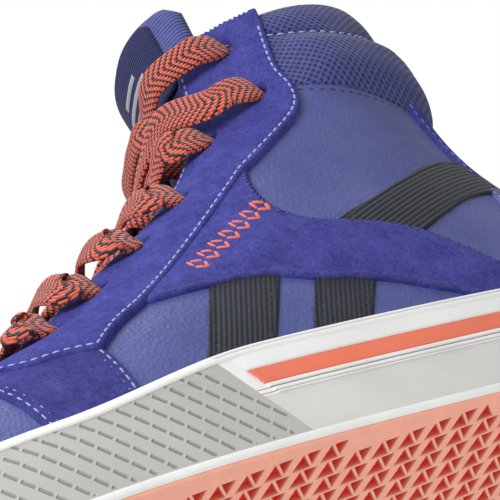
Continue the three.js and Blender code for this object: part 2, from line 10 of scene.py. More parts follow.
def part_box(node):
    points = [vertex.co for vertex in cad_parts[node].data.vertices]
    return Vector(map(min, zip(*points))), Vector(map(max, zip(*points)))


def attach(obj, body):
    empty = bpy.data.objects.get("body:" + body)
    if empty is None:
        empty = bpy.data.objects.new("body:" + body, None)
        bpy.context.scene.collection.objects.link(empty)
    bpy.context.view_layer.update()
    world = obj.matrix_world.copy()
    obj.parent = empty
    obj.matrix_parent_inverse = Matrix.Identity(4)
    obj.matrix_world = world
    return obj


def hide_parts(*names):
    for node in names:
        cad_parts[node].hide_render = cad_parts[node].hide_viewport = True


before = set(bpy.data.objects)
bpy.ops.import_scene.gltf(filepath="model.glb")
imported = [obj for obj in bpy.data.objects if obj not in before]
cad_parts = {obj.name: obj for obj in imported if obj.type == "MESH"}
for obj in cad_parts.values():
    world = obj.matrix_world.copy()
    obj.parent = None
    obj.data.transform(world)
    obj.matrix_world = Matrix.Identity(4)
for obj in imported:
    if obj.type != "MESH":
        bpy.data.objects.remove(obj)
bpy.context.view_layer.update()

MM = 0.001
LATERAL, MEDIAL = 1, -1  # the sign of the angle around the shoe on each side

# ---- The upper's loops, as in the model, in millimetres ----
FRONT = [(-143, 21), (-147, 37), (-139, 51), (-118, 60), (-89, 67), (-58, 77), (-27, 91), (4, 106), (32, 124),
         (51, 149), (63, 181), (70, 208)]
BACK = [(146, 20), (150, 38), (151, 55), (149, 72), (145, 88), (141, 102), (139, 115), (139, 128), (140, 142),
        (142, 158), (145, 177), (149, 192)]
HALF = [(52, 41, 36), (52, 43, 37), (49, 43, 37), (43, 42, 36), (38, 41, 35), (37, 39, 34), (37, 38, 34),
        (37, 38, 34), (37, 38, 34), (37, 38, 35), (38, 39, 36), (38, 40, 37)]
INNER = [(-3, -8, -1), (-3, -7, -1), (-3, -5, -1), (-2, -4, 0), (-1, -2, 0), (0, -1, 0)] + [(0, 0, 0)] * 6
SPRING = [1, 1, 1, 0.8, 0.5] + [0] * 7
DIP = [0] * 7 + [1, 2, 3, 6, 8]
WIDTH_AT = (0.28, 0.62, 0.88)
TOE_POWER, SOLE_POWER, ANKLE_POWER = 0.76, 0.46, 0.8
RIM = 10  # the loop that is the collar's rim
FRONT, BACK, HALF, INNER = (np.array(rows, float) for rows in (FRONT, BACK, HALF, INNER))
SPRING, DIP = np.array(SPRING, float), np.array(DIP, float)


def smooth(t):
    s = np.clip(t, 0, 1)
    return s * s * (3 - 2 * s)


def mix(a, b, t):
    return a + (b - a) * t


def lift(x):
    """The toe spring at x."""
    return np.where(x < -80, 7 * ((-80 - x) / 70) ** 2, 0)


def width_at(t, w):
    a, b, c = WIDTH_AT
    return (w[..., 0, None] * (t - b) * (t - c) / ((a - b) * (a - c))
            + w[..., 1, None] * (t - a) * (t - c) / ((b - a) * (b - c))
            + w[..., 2, None] * (t - a) * (t - b) / ((c - a) * (c - b)))


def loop_points(phi):
    """Every loop's point at each angle: loops by angles by 3, in millimetres."""
    t = (1 - np.cos(phi)) / 2
    s = np.sin(phi)
    half = np.where(s >= 0, width_at(t, HALF), width_at(t, HALF + INNER))
    x = mix(FRONT[:, :1], BACK[:, :1], t)
    z = mix(FRONT[:, 1:], BACK[:, 1:], t) + SPRING[:, None] * lift(x) - DIP[:, None] * s**2
    heel = mix(SOLE_POWER, ANKLE_POWER, smooth(np.arange(len(FRONT)) / 6))[:, None]
    power = mix(TOE_POWER, heel, smooth((t - 0.4) / 0.5))
    y = -np.sign(s) * np.abs(s) ** power * half
    return np.stack([x, y, z], -1)


def surface(ring, phi):
    """Points on the upper, in the loops' own millimetres. The angle is 0 at the toe and pi at the heel."""
    ring, phi = (a.ravel() for a in np.broadcast_arrays(np.asarray(ring, float), np.asarray(phi, float)))
    loops = loop_points(phi)
    last = len(loops) - 1
    i = np.clip(np.floor(ring).astype(int), 0, last - 1)
    u = (ring - i)[:, None]
    k = np.arange(len(phi))
    p1, p2 = loops[i, k], loops[i + 1, k]
    p0 = np.where((i > 0)[:, None], loops[np.maximum(i - 1, 0), k], 2 * p1 - p2)
    p3 = np.where((i < last - 1)[:, None], loops[np.minimum(i + 2, last), k], 2 * p2 - p1)
    return 0.5 * (2 * p1 + (p2 - p0) * u + (2 * p0 - 5 * p1 + 4 * p2 - p3) * u**2 + (3 * p1 - p0 - 3 * p2 + p3) * u**3)


def unit(v):
    return v / np.maximum(np.linalg.norm(v, axis=-1, keepdims=True), 1e-9)


def frames(ring, phi):
    """The outward normal, and the surface's change along the ring and along the angle."""
    e = 1e-3
    up = (surface(ring + e, phi) - surface(ring - e, phi)) / (2 * e)
    around = (surface(ring, phi + e) - surface(ring, phi - e)) / (2 * e)
    return unit(np.cross(around, up)), up, around


def raised(ring, phi, d):
    ring, phi = (a.ravel() for a in np.broadcast_arrays(np.asarray(ring, float), np.asarray(phi, float)))
    return surface(ring, phi) + frames(np.clip(ring, 0.002, 10.998), phi)[0] * np.reshape(d, (-1, 1))


def padding(ring, phi):
    """How far the collar's padding swells out."""
    p = surface(ring, phi)
    up = smooth((p[:, 2] - 127) / 14) * smooth((161 - p[:, 2]) / 14)
    return 3.2 * up * smooth((p[:, 0] - 84) / 14)


# ---- Places on the upper ----
def bisect(low, high, below, count=34):
    """Where a rising test turns false, for arrays."""
    low, high = np.array(low, float), np.array(high, float)
    for _ in range(count):
        middle = (low + high) / 2
        under = below(middle)
        low, high = np.where(under, middle, low), np.where(under, high, middle)
    return low


def angle_at(ring, y):
    """The angle at which a loop reaches y on the front half of the shoe."""
    ring, y = (a.ravel() for a in np.broadcast_arrays(np.asarray(ring, float), np.asarray(y, float)))
    found = bisect(0 * y, 0 * y + math.pi / 2, lambda phi: np.abs(surface(ring, phi)[:, 1]) < np.abs(y))
    return np.where(y <= 0, found, -found)


def from_side(points):
    """(angle, ring) of points given in the side view. A point above the vamp lands on the centre line."""
    x, z = np.array(points, float).T

    def angle(ring):
        front, back = surface(ring, 0 * ring)[:, 0], surface(ring, 0 * ring + math.pi)[:, 0]
        return np.arccos(np.clip(1 - 2 * (x - front) / (back - front), -1, 1))

    top = bisect(0 * x, 0 * x + 10.99, lambda ring: surface(ring, 0 * ring)[:, 0] < x)
    top = np.where(surface(0 * x, 0 * x)[:, 0] > x, 10.99, np.where(top > 10.9, 10.99, top))
    ring = bisect(0 * x, top, lambda r: surface(r, angle(r))[:, 2] < z)
    return np.stack([angle(ring), ring], -1)


def from_top(points):
    """(angle, ring) of points on the front of the upper given in plan."""
    x, y = np.array(points, float).T
    ring = bisect(0 * x + 3, 0 * x + 10.99, lambda r: surface(r, angle_at(r, y))[:, 0] < x)
    return np.stack([angle_at(ring, y), ring], -1)


def wall_top(x):
    """The height of the sole's side wall at x, above the toe spring."""
    return mix(29, 35, smooth((x + 60) / 62))


def own_wall(phi, height, d):
    """A point on the sole's side, offset outward in plan from the upper, in the loops' own millimetres."""
    phi, height, d = (a.ravel() for a in np.broadcast_arrays(*(np.asarray(v, float) for v in (phi, height, d))))
    ring = np.maximum(0, (height - 20.5) / 16.5)
    p = surface(ring, phi)
    along = surface(ring, phi + 1e-3) - surface(ring, phi - 1e-3)
    out = unit(np.stack([along[:, 1], -along[:, 0]], -1))
    springs = lift(p[:, 0])
    return np.stack([p[:, 0] + out[:, 0] * d, p[:, 1] + out[:, 1] * d, height + springs], -1)


# The model puts its origin at the middle of the footprint, which its side wall gives.
wall_box = [np.array(corner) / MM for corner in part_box("cupsole_wall")]
turns = np.arange(36) * math.tau / 36
tops = wall_top(surface(1, turns)[:, 0])
own = own_wall(np.tile(turns, 3), np.concatenate([0 * tops + 21.5, 0 * tops + 27, tops]),
               np.repeat([5.4, 5.3, 4.6], 36))
OFFSET = (wall_box[0] + wall_box[1]) / 2 - (own.min(0) + own.max(0)) / 2
OFFSET[2] = 0


def placed(points):
    """From the loops' own millimetres to the frame's metres."""
    return (np.asarray(points) + OFFSET) * MM


# ---- Making objects ----
def add_mesh(name, points, faces, material, body="shoe", smooth_faces=True):
    mesh = bpy.data.meshes.new(name)
    mesh.from_pydata([tuple(p) for p in points], [], [tuple(int(i) for i in f) for f in faces])
    mesh.polygons.foreach_set("use_smooth", [smooth_faces] * len(mesh.polygons))
    for m in material if isinstance(material, list) else [material]:
        mesh.materials.append(m)
    mesh.update()
    made = bpy.data.objects.new(name, mesh)
    bpy.context.scene.collection.objects.link(made)
    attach(made, body)
    return made


def grid_faces(rows, columns, closed=False):
    last = columns if closed else columns - 1
    j, i = np.meshgrid(np.arange(last), np.arange(rows - 1))
    a, b = i * columns + j, i * columns + (j + 1) % columns
    return np.stack([a, b, b + columns, a + columns], -1).reshape(-1, 4)


def set_uv(made, uv):
    """Gives each corner its point's (u, v)."""
    layer = made.data.uv_layers.new(name="UVMap")
    index = np.zeros(len(made.data.loops), int)
    made.data.loops.foreach_get("vertex_index", index)
    layer.data.foreach_set("uv", np.asarray(uv, float)[index].ravel())


def resample(points, step):
    """Points a step apart along a polyline, which stays open."""
    points = np.asarray(points, float)
    lengths = np.linalg.norm(np.diff(points, axis=0), axis=1)
    reach = np.concatenate([[0], np.cumsum(lengths)])
    count = max(2, int(round(reach[-1] / step)) + 1)
    at = np.linspace(0, reach[-1], count)
    return np.stack([np.interp(at, reach, points[:, k]) for k in range(points.shape[1])], -1)


def curve(points, count=48):
    """A smooth line through a few points."""
    p = np.array(points, float)
    p = np.vstack([2 * p[0] - p[1], p, 2 * p[-1] - p[-2]])
    t = np.linspace(0, len(p) - 3 - 1e-9, count)
    i = t.astype(int)
    u = (t - i)[:, None]
    a, b, c, d = (p[i + k] for k in range(4))
    return 0.5 * (2 * b + (c - a) * u + (2 * a - 5 * b + 4 * c - d) * u**2 + (3 * b - a - 3 * c + d) * u**3)


# ---- Sewn panels ----
ANGLE_SCALE, RING_SCALE = 60.0, 17.0  # rough millimetres per radian and per ring, for even triangles


def outline_of(parts, step=1.6):
    """Joins lines of (angle, ring) into one closed outline with even spacing on the surface."""
    line = np.vstack([np.vstack(parts), parts[0][:1]])
    dense = np.vstack([np.linspace(a, b, 9)[:-1] for a, b in zip(line[:-1], line[1:])] + [line[-1:]])
    on = surface(dense[:, 1], dense[:, 0])
    reach = np.concatenate([[0], np.cumsum(np.linalg.norm(np.diff(on, axis=0), axis=1))])
    at = np.linspace(0, reach[-1], max(12, int(reach[-1] / step)))[:-1]
    return np.stack([np.interp(at, reach, dense[:, k]) for k in (0, 1)], -1)


def inside(points, loop):
    """Which (angle, ring) points lie in a closed outline."""
    x, y = points[:, :1], points[:, 1:]
    x1, y1 = loop.T
    x2, y2 = np.roll(loop, -1, 0).T
    rise = np.where(y2 == y1, 1e-12, y2 - y1)
    return ((y1 > y) != (y2 > y)) & (x < x1 + (y - y1) / rise * (x2 - x1))


def inset(loop, distance):
    """The outline moved in by a distance along the surface, and the points' directions."""
    ring, phi = loop[:, 1], loop[:, 0]
    normal, up, around = frames(np.clip(ring, 0.002, 10.998), phi)
    on = surface(ring, phi)
    along = unit(np.roll(on, -1, 0) - np.roll(on, 1, 0))
    inward = np.cross(normal, along)
    area = np.sum(loop[:, 0] * np.roll(loop[:, 1], -1) - np.roll(loop[:, 0], -1) * loop[:, 1])
    inward *= 1 if area > 0 else -1
    # Along the surface, a step of a in the angle and b in the ring moves a * around + b * up.
    aa, bb, ab = (np.sum(p * q, -1) for p, q in ((around, around), (up, up), (around, up)))
    pa, pb = np.sum(inward * around, -1), np.sum(inward * up, -1)
    det = aa * bb - ab * ab
    return loop + distance * np.stack([(pa * bb - pb * ab) / det, (pb * aa - pa * ab) / det], -1)


def to_loops(points, loops, chunk=400):
    """The distance of each point from the nearest of some closed polylines, in space."""
    starts = np.vstack(loops)
    ends = np.vstack([np.roll(loop, -1, 0) for loop in loops])
    run = ends - starts
    found = []
    for k in range(0, len(points), chunk):
        p = points[k:k + chunk, None]
        t = np.clip(np.sum((p - starts) * run, -1) / np.maximum(np.sum(run * run, -1), 1e-9), 0, 1)
        found.append(np.linalg.norm(p - starts - run * t[..., None], axis=-1).min(1))
    return np.concatenate(found)


def panel(name, outline, material, base=0.0, thick=1.5, puff=0.0, seam=1.6, holes=(), spacing=2.4, groove=0.22,
          edge=0.8, inward=False, swell=None):
    """A sewn panel: rounded at its edges, drawn down along its seam, and full in the middle."""
    loops = [outline] + list(holes)
    rims = [surface(loop[:, 1], loop[:, 0]) for loop in loops]
    ring, phi = outline[:, 1], outline[:, 0]
    phis = np.arange(phi.min(), phi.max(), spacing / 62)
    rings = np.arange(ring.min(), ring.max(), spacing / 19)
    grid = np.stack([a.ravel() for a in np.meshgrid(phis, rings)], -1)
    grid[:, 0] += np.tile(phis[1] - phis[0], len(grid)) * 0.5 * (np.round(grid[:, 1] / (spacing / 19)) % 2)
    grid = grid[np.sum(inside(grid, outline), 1) % 2 == 1]
    for hole in holes:
        grid = grid[np.sum(inside(grid, hole), 1) % 2 == 0]
    grid = grid[to_loops(surface(grid[:, 1], grid[:, 0]), rims) > spacing * 0.75]
    rows = []
    for distance in (0.1, 0.3, 0.6, 1.2, seam, seam + 0.9):
        for k, loop in enumerate(loops):
            if k and distance > 0.7:
                continue
            moved = inset(loop, distance if k == 0 else -distance)
            keep = np.abs(to_loops(surface(moved[:, 1], moved[:, 0]), rims) - distance) < 0.12 + distance * 0.1
            rows.append(moved[keep])
    points = np.vstack(loops + rows + [grid])
    flat = points * (ANGLE_SCALE, RING_SCALE)
    edges = []
    start = 0
    for loop in loops:
        edges += [(start + k, start + (k + 1) % len(loop)) for k in range(len(loop))]
        start += len(loop)
    made = delaunay_2d_cdt([Vector(p) for p in flat], edges, [], 0, 1e-5)
    points = np.array([tuple(p) for p in made[0]]) / (ANGLE_SCALE, RING_SCALE)
    faces = np.array([f for f in made[2]])
    middles = points[faces].mean(1)
    keep = np.sum(inside(middles, outline), 1) % 2 == 1
    for hole in holes:
        keep &= np.sum(inside(middles, hole), 1) % 2 == 0
    faces = faces[keep]
    ring, phi = points[:, 1], points[:, 0]
    on = surface(ring, phi)
    far = to_loops(on, rims)
    rise = thick * np.sqrt(1 - (1 - np.clip(far / edge, 0, 1)) ** 2)
    rise -= groove * np.exp(-(((far - seam) / 0.55) ** 2))
    rise += puff * smooth((far - seam) / 7)
    if swell is not None:
        rise += swell(on, far)
    lifted = base - rise if inward else base + rise + padding(ring, phi)
    normal = frames(np.clip(ring, 0.002, 10.998), phi)[0]
    turned = np.cross(on[faces[:, 1]] - on[faces[:, 0]], on[faces[:, 2]] - on[faces[:, 0]])
    flip = (np.sum(turned * normal[faces[:, 0]], -1) < 0) != inward
    faces[flip] = faces[flip][:, ::-1]
    points = on + normal * lifted[:, None]
    faces = [tuple(f) for f in faces]
    if base > 0.05:
        # The cut edge goes down to the leather.
        where = {source: k for k, sources in enumerate(made[3]) for source in sources}
        rim = [[where[a], where[b]] for a, b in edges]
        used = {(a, b) for f in faces for a, b in zip(f, f[1:] + f[:1])}
        foot = len(points) + np.arange(len(rim))
        low = dict(zip([a for a, _ in rim], foot))
        down = np.array([on[a] + normal[a] * (padding(ring[a], phi[a])[0] - 0.1) for a, _ in rim])
        points = np.vstack([points, down])
        for a, b in rim:
            faces.append((b, a, low[a], low[b]) if (a, b) in used else (a, b, low[b], low[a]))
    return add_mesh(name, placed(points), faces, material)


def stitches(name, lines, material, base=1.5, pitch=3.0, long=2.3, wide=0.8, body="shoe"):
    """Rows of thread along lines of (angle, ring): short beads that dip in at their ends."""
    points, faces = [], []
    shape = [(-0.5, 0.15), (-0.36, 0.85), (0, 1), (0.36, 0.85), (0.5, 0.15)]
    sides = 6
    for line in lines:
        on = surface(line[:, 1], line[:, 0])
        reach = np.concatenate([[0], np.cumsum(np.linalg.norm(np.diff(on, axis=0), axis=1))])
        at = np.arange(pitch / 2, reach[-1], pitch)
        if len(at) == 0:
            continue
        phi, ring = (np.interp(at, reach, line[:, k]) for k in (0, 1))
        centre = surface(ring, phi)
        normal = frames(np.clip(ring, 0.002, 10.998), phi)[0]
        ahead = np.stack([np.interp(at + 0.5, reach, on[:, k]) for k in range(3)], -1)
        along = unit(ahead - centre)
        across = unit(np.cross(normal, along))
        height = base + padding(ring, phi)
        for k in range(len(at)):
            first = len(points)
            for t, full in shape:
                for j in range(sides):
                    turn = math.tau * j / sides
                    points.append(centre[k] + along[k] * t * long + across[k] * math.cos(turn) * full * wide / 2
                                  + normal[k] * (height[k] - 0.12 + math.sin(turn) * full * wide * 0.36
                                                 - (1 - full) * 0.25))
            for row in range(len(shape) - 1):
                for j in range(sides):
                    a, b = first + row * sides + j, first + row * sides + (j + 1) % sides
                    faces.append((a, b, b + sides, a + sides))
            end = first + (len(shape) - 1) * sides
            faces.append(tuple(first + j for j in reversed(range(sides))))
            faces.append(tuple(end + j for j in range(sides)))
    if points:
        return add_mesh(name, placed(points), faces, material, body)
    return None


# ---- Materials ----
def nodes_of(name, colour, roughness, **sockets):
    material = bpy.data.materials.new(name)
    material.use_nodes = True
    tree = material.node_tree
    shader = tree.nodes["Principled BSDF"]
    shader.inputs["Base Color"].default_value = (*colour, 1)
    shader.inputs["Roughness"].default_value = roughness
    for key, value in sockets.items():
        shader.inputs[key.replace("_", " ")].default_value = value
    return material, tree, shader


def srgb(r, g, b):
    return tuple(((c / 255 + 0.055) / 1.055) ** 2.4 if c > 10 else c / 255 / 12.92 for c in (r, g, b))


def node(tree, kind, inputs=None, **settings):
    made = tree.nodes.new(kind)
    for key, value in settings.items():
        setattr(made, key, value)
    for key, value in (inputs or {}).items():
        if isinstance(value, bpy.types.NodeSocket):
            tree.links.new(value, made.inputs[key])
        else:
            made.inputs[key].default_value = value
    return made


def sums(tree, operation, a, b=None, c=None):
    """A maths node's result."""
    made = node(tree, "ShaderNodeMath", {k: v for k, v in enumerate((a, b, c)) if v is not None}, operation=operation)
    return made.outputs[0]


def place_of(tree, uv=False):
    return node(tree, "ShaderNodeTexCoord").outputs["UV" if uv else "Object"]


def noise(tree, scale, detail=3.0, rough=0.55, vector=None):
    made = node(tree, "ShaderNodeTexNoise", {"Vector": vector or place_of(tree), "Scale": scale, "Detail": detail,
                                             "Roughness": rough})
    return made.outputs[0]


def cells(tree, scale, vector=None, feature="F1"):
    made = node(tree, "ShaderNodeTexVoronoi", {"Vector": vector or place_of(tree), "Scale": scale}, feature=feature)
    return made.outputs["Distance"]


def ramp(tree, value, stops):
    made = node(tree, "ShaderNodeValToRGB", {"Fac": value})
    elements = made.color_ramp.elements
    while len(elements) < len(stops):
        elements.new(0.5)
    for element, (at, colour) in zip(elements, stops):
        element.position = at
        element.color = (*colour, 1) if len(colour) == 3 else colour
    return made.outputs[0]


def blend(tree, factor, a, b, mode="MIX"):
    made = node(tree, "ShaderNodeMix", data_type="RGBA", blend_type=mode)
    for index, value in ((0, factor), (6, a), (7, b)):
        if isinstance(value, bpy.types.NodeSocket):
            tree.links.new(value, made.inputs[index])
        else:
            made.inputs[index].default_value = value if index == 0 else (*value, 1)
    return made.outputs[2]


def bump(tree, shader, height, distance, strength=1.0, under=None):
    inputs = {"Height": height, "Distance": distance, "Strength": strength}
    if under is not None:
        inputs["Normal"] = under
    made = node(tree, "ShaderNodeBump", inputs)
    tree.links.new(made.outputs[0], shader.inputs["Normal"])
    return made.outputs[0]


def colour_from(tree, shader, socket):
    tree.links.new(socket, shader.inputs["Base Color"])


def suede(name, dark, mid, light):
    material, tree, shader = nodes_of(name, mid, 0.95, Sheen_Weight=0.35, Sheen_Roughness=0.45,
                                      Sheen_Tint=(*light, 1), Specular_IOR_Level=0.15)
    nap = noise(tree, 130, 4, 0.6)
    tufts = noise(tree, 620, 4, 0.75)
    fibres = noise(tree, 1900, 3, 0.7)
    tone = ramp(tree, nap, [(0.3, dark), (0.5, mid), (0.75, light)])
    fine = sums(tree, "MULTIPLY_ADD", fibres, 0.5, sums(tree, "MULTIPLY", tufts, 0.5))
    speck = ramp(tree, fine, [(0.36, (0.5,) * 3), (0.5, (0.98,) * 3), (0.64, (1.45,) * 3)])
    colour_from(tree, shader, blend(tree, 0.9, tone, speck, "MULTIPLY"))
    soft = bump(tree, shader, nap, 0.0005, 0.25)
    bump(tree, shader, fine, 0.0006, 0.9, soft)
    return material


def leather(name, dark, mid, light):
    material, tree, shader = nodes_of(name, mid, 0.46, Specular_IOR_Level=0.42, Coat_Weight=0.06, Coat_Roughness=0.4)
    broad = noise(tree, 45, 3)
    grain = cells(tree, 820, feature="F1")
    creases = noise(tree, 330, 4, 0.65)
    colour_from(tree, shader, ramp(tree, broad, [(0.25, dark), (0.5, mid), (0.8, light)]))
    fine = bump(tree, shader, grain, 0.0004, 0.5)
    bump(tree, shader, creases, 0.0008, 0.32, fine)
    tree.links.new(ramp(tree, creases, [(0.3, (0.4,) * 3), (0.7, (0.56,) * 3)]), shader.inputs["Roughness"])
    return material


def waves(tree, pitch, tilt, bands="Z", distortion=0.3):
    """Soft bands across the shoe, tilted about the Y axis by some degrees."""
    turned = node(tree, "ShaderNodeMapping", {"Vector": place_of(tree), "Rotation": (0, math.radians(tilt), 0)})
    made = node(tree, "ShaderNodeTexWave", {"Vector": turned.outputs[0], "Scale": math.tau / pitch / 20,
                                            "Distortion": distortion, "Detail": 1.5, "Detail Scale": 6},
                bands_direction=bands)
    return made.outputs["Fac"]


def ribbed(name, dark, light, pitch, rough=0.7, tilt=0.0, sheen=0.1, depth=0.0005):
    """A textile of fine ribs, crossed by finer threads."""
    material, tree, shader = nodes_of(name, light, rough, Sheen_Weight=sheen, Sheen_Roughness=0.5,
                                      Specular_IOR_Level=0.25)
    weave = sums(tree, "MULTIPLY_ADD", waves(tree, pitch * 0.6, tilt, "X"), 0.3, waves(tree, pitch, tilt))
    tone = ramp(tree, weave, [(0.15, dark), (0.85, light)])
    mottle = ramp(tree, noise(tree, 220, 3), [(0.3, (0.8,) * 3), (0.7, (1.12,) * 3)])
    colour_from(tree, shader, blend(tree, 0.8, tone, mottle, "MULTIPLY"))
    bump(tree, shader, weave, depth, 0.7)
    return material


def open_mesh(name, dark, light, pitch):
    """A knitted spacer mesh: small dark holes on a diagonal grid."""
    material, tree, shader = nodes_of(name, light, 0.8, Sheen_Weight=0.15, Specular_IOR_Level=0.2)
    holes = sums(tree, "MULTIPLY", waves(tree, pitch, 38, distortion=0.1), waves(tree, pitch, -52, distortion=0.1))
    soft = ramp(tree, noise(tree, 420, 3), [(0.3, (0.82,) * 3), (0.7, (1.15,) * 3)])
    tone = ramp(tree, holes, [(0.06, light), (0.3, tuple(mix(a, b, 0.5) for a, b in zip(light, dark))),
                              (0.62, dark)])
    colour_from(tree, shader, blend(tree, 0.8, tone, soft, "MULTIPLY"))
    bump(tree, shader, sums(tree, "MULTIPLY", holes, -1.0), 0.0004, 0.8)
    return material


def rubber(name, colour, rough=0.6, mottle=0.06):
    material, tree, shader = nodes_of(name, colour, rough, Specular_IOR_Level=0.35)
    fine = noise(tree, 900, 3)
    broad = noise(tree, 30, 2)
    low = tuple(c * (1 - mottle) for c in colour)
    high = tuple(min(1, c * (1 + mottle)) for c in colour)
    colour_from(tree, shader, ramp(tree, broad, [(0.3, low), (0.7, high)]))
    bump(tree, shader, fine, 0.0002, 0.2)
    return material


def thread(name, colour):
    material, tree, shader = nodes_of(name, colour, 0.6, Sheen_Weight=0.3)
    twist = noise(tree, 2500, 2)
    colour_from(tree, shader, ramp(tree, twist, [(0.3, tuple(c * 0.75 for c in colour)), (0.7, colour)]))
    bump(tree, shader, twist, 0.0003, 0.5)
    return material


def wall_rubber():
    """The side wall: white lips, a grey field, and slanted dashes forward of the stripe. UV is x and height in mm."""
    white, grey, pale = srgb(242, 242, 240), srgb(188, 187, 183), srgb(216, 215, 212)
    material, tree, shader = nodes_of("wall_rubber", white, 0.55, Specular_IOR_Level=0.35)
    split = node(tree, "ShaderNodeSeparateXYZ", {"Vector": place_of(tree, True)})
    x, z = split.outputs[0], split.outputs[1]
    along = sums(tree, "SUBTRACT", sums(tree, "MULTIPLY", x, 0.565), sums(tree, "MULTIPLY", z, 0.825))
    across = sums(tree, "ADD", sums(tree, "MULTIPLY", x, 0.825), sums(tree, "MULTIPLY", z, 0.565))
    row = sums(tree, "DIVIDE", across, 4.9)
    in_row = sums(tree, "ABSOLUTE", sums(tree, "SUBTRACT", sums(tree, "FRACT", row), 0.5))
    started = sums(tree, "MULTIPLY_ADD", sums(tree, "FLOOR", row), -2.8, along)
    in_dash = sums(tree, "ABSOLUTE", sums(tree, "SUBTRACT", sums(tree, "FRACT", sums(tree, "DIVIDE", started, 4.75)), 0.5))

    def below(value, edge, soft):
        made = node(tree, "ShaderNodeMapRange", {0: value, 1: edge - soft, 2: edge + soft, 3: 1.0, 4: 0.0},
                    interpolation_type="SMOOTHSTEP")
        return made.outputs[0]

    dash = sums(tree, "MULTIPLY", below(in_row, 0.1, 0.075), below(in_dash, 0.4, 0.04))
    # The field's rear border leans with the stripe's end, and no dash is cut by it.
    centre_across = sums(tree, "MULTIPLY", sums(tree, "ADD", sums(tree, "FLOOR", row), 0.5), 4.9)
    dash_index = sums(tree, "ADD", sums(tree, "FLOOR", sums(tree, "DIVIDE", started, 4.75)), 0.5)
    centre_along = sums(tree, "MULTIPLY_ADD", dash_index, 4.75, sums(tree, "MULTIPLY", sums(tree, "FLOOR", row), 2.8))
    centre_x = sums(tree, "MULTIPLY_ADD", centre_along, 0.565, sums(tree, "MULTIPLY", centre_across, 0.825))
    centre_z = sums(tree, "MULTIPLY_ADD", centre_along, -0.825, sums(tree, "MULTIPLY", centre_across, 0.565))
    lean = 0.41
    whole = below(sums(tree, "MULTIPLY_ADD", centre_z, lean, centre_x), 0.0, 0.01)
    front = below(sums(tree, "MULTIPLY_ADD", z, lean, x), 1.6, 0.25)
    top = below(sums(tree, "MULTIPLY", z, -1), -3.0, 0.2)
    dash = sums(tree, "MULTIPLY", sums(tree, "MULTIPLY", dash, whole), below(sums(tree, "MULTIPLY", z, -1), -3.6, 0.3))
    rear_field = sums(tree, "MULTIPLY", below(z, 17.6, 0.15), below(sums(tree, "MULTIPLY", z, -1), -2.6, 0.15))
    base = blend(tree, sums(tree, "MULTIPLY", front, top), blend(tree, rear_field, white, pale), grey)
    mottled = blend(tree, 0.6, base, ramp(tree, noise(tree, 60, 3), [(0.3, (0.9,) * 3), (0.7, (1.05,) * 3)]), "MULTIPLY")
    # Painted shade: two fine dark lines run rearward under the stripe, in the wall's two grooves there.
    line = sums(tree, "MAXIMUM", *(below(sums(tree, "ABSOLUTE", sums(tree, "SUBTRACT", z, at)), 0.17, 0.12)
                                   for at in (18.32, 19.92)))
    line = sums(tree, "MULTIPLY", line, sums(tree, "SUBTRACT", 1.0, front))
    with_groove_shade = blend(tree, line, mottled, srgb(150, 148, 144))
    # Painted shade: the dashes are sunk grooves, coloured a darker grey for the shade in them, besides their bump.
    colour_from(tree, shader, blend(tree, dash, with_groove_shade, srgb(150, 148, 143)))
    sunk = sums(tree, "MULTIPLY", dash, -1)
    deep = bump(tree, shader, sunk, 0.0006, 0.8)
    bump(tree, shader, noise(tree, 1100, 3), 0.0002, 0.12, deep)
    return material


def tread_rubber():
    """Coral rubber, with painted shade that deepens it to red in the pits."""
    material, tree, shader = nodes_of("tread_rubber", srgb(246, 120, 95), 0.42, Specular_IOR_Level=0.45,
                                      Subsurface_Weight=0.12, Subsurface_Scale=0.002)
    shader.inputs["Subsurface Radius"].default_value = (1.0, 0.3, 0.2)
    depth = node(tree, "ShaderNodeAttribute", attribute_name="pit").outputs["Fac"]
    # Painted shade: the colour goes from pale coral on the flats to deep red at the pits' floors, by depth.
    tone = ramp(tree, depth, [(0.0, srgb(255, 178, 154)), (0.14, srgb(255, 150, 122)), (0.35, srgb(248, 96, 70)),
                              (1.0, srgb(226, 22, 14))])
    colour_from(tree, shader, blend(tree, 0.5, tone, ramp(tree, noise(tree, 200, 3), [(0.3, (0.86,) * 3),
                                                                                  (0.7, (1.08,) * 3)]), "MULTIPLY"))
    bump(tree, shader, noise(tree, 1200, 2), 0.0002, 0.15)
    return material


def lace_weave():
    """A flat herringbone lace, coral with dark picks. UV is along and across in millimetres."""
    coral, dark = srgb(243, 104, 78), srgb(38, 34, 46)
    material, tree, shader = nodes_of("lace_weave", coral, 0.75, Sheen_Weight=0.3, Sheen_Roughness=0.5,
                                      Specular_IOR_Level=0.2)
    split = node(tree, "ShaderNodeSeparateXYZ", {"Vector": place_of(tree, True)})
    u, v = split.outputs[0], split.outputs[1]
    folded = sums(tree, "ABSOLUTE", v)
    pick = sums(tree, "FRACT", sums(tree, "DIVIDE", sums(tree, "MULTIPLY_ADD", folded, 0.6, u), 2.3))
    strand = sums(tree, "FRACT", sums(tree, "DIVIDE", v, 1.0))
    ridge = sums(tree, "SUBTRACT", 1.0, sums(tree, "ABSOLUTE", sums(tree, "MULTIPLY_ADD", strand, 2.0, -1.0)))
    stepped = sums(tree, "FRACT", sums(tree, "DIVIDE", sums(tree, "MULTIPLY_ADD", sums(tree, "FLOOR", folded), 0.8, u),
                                       2.3))
    both = sums(tree, "ADD", sums(tree, "MULTIPLY", pick, 0.35), sums(tree, "MULTIPLY", stepped, 0.65))
    tone = ramp(tree, both, [(0.0, coral), (0.46, coral), (0.54, dark), (0.88, dark), (0.94, coral)])
    # Painted shade: each strand darkens towards its edges, where it rounds down between the strands.
    shaded = blend(tree, 0.6, tone, ramp(tree, ridge, [(0.0, (0.55,) * 3), (0.5, (1.0,) * 3)]), "MULTIPLY")
    mottle = ramp(tree, noise(tree, 1500, 2), [(0.3, (0.75,) * 3), (0.7, (1.15,) * 3)])
    colour_from(tree, shader, blend(tree, 0.7, shaded, mottle, "MULTIPLY"))
    bump(tree, shader, sums(tree, "MULTIPLY_ADD", both, 0.5, ridge), 0.0005, 0.8)
    return material


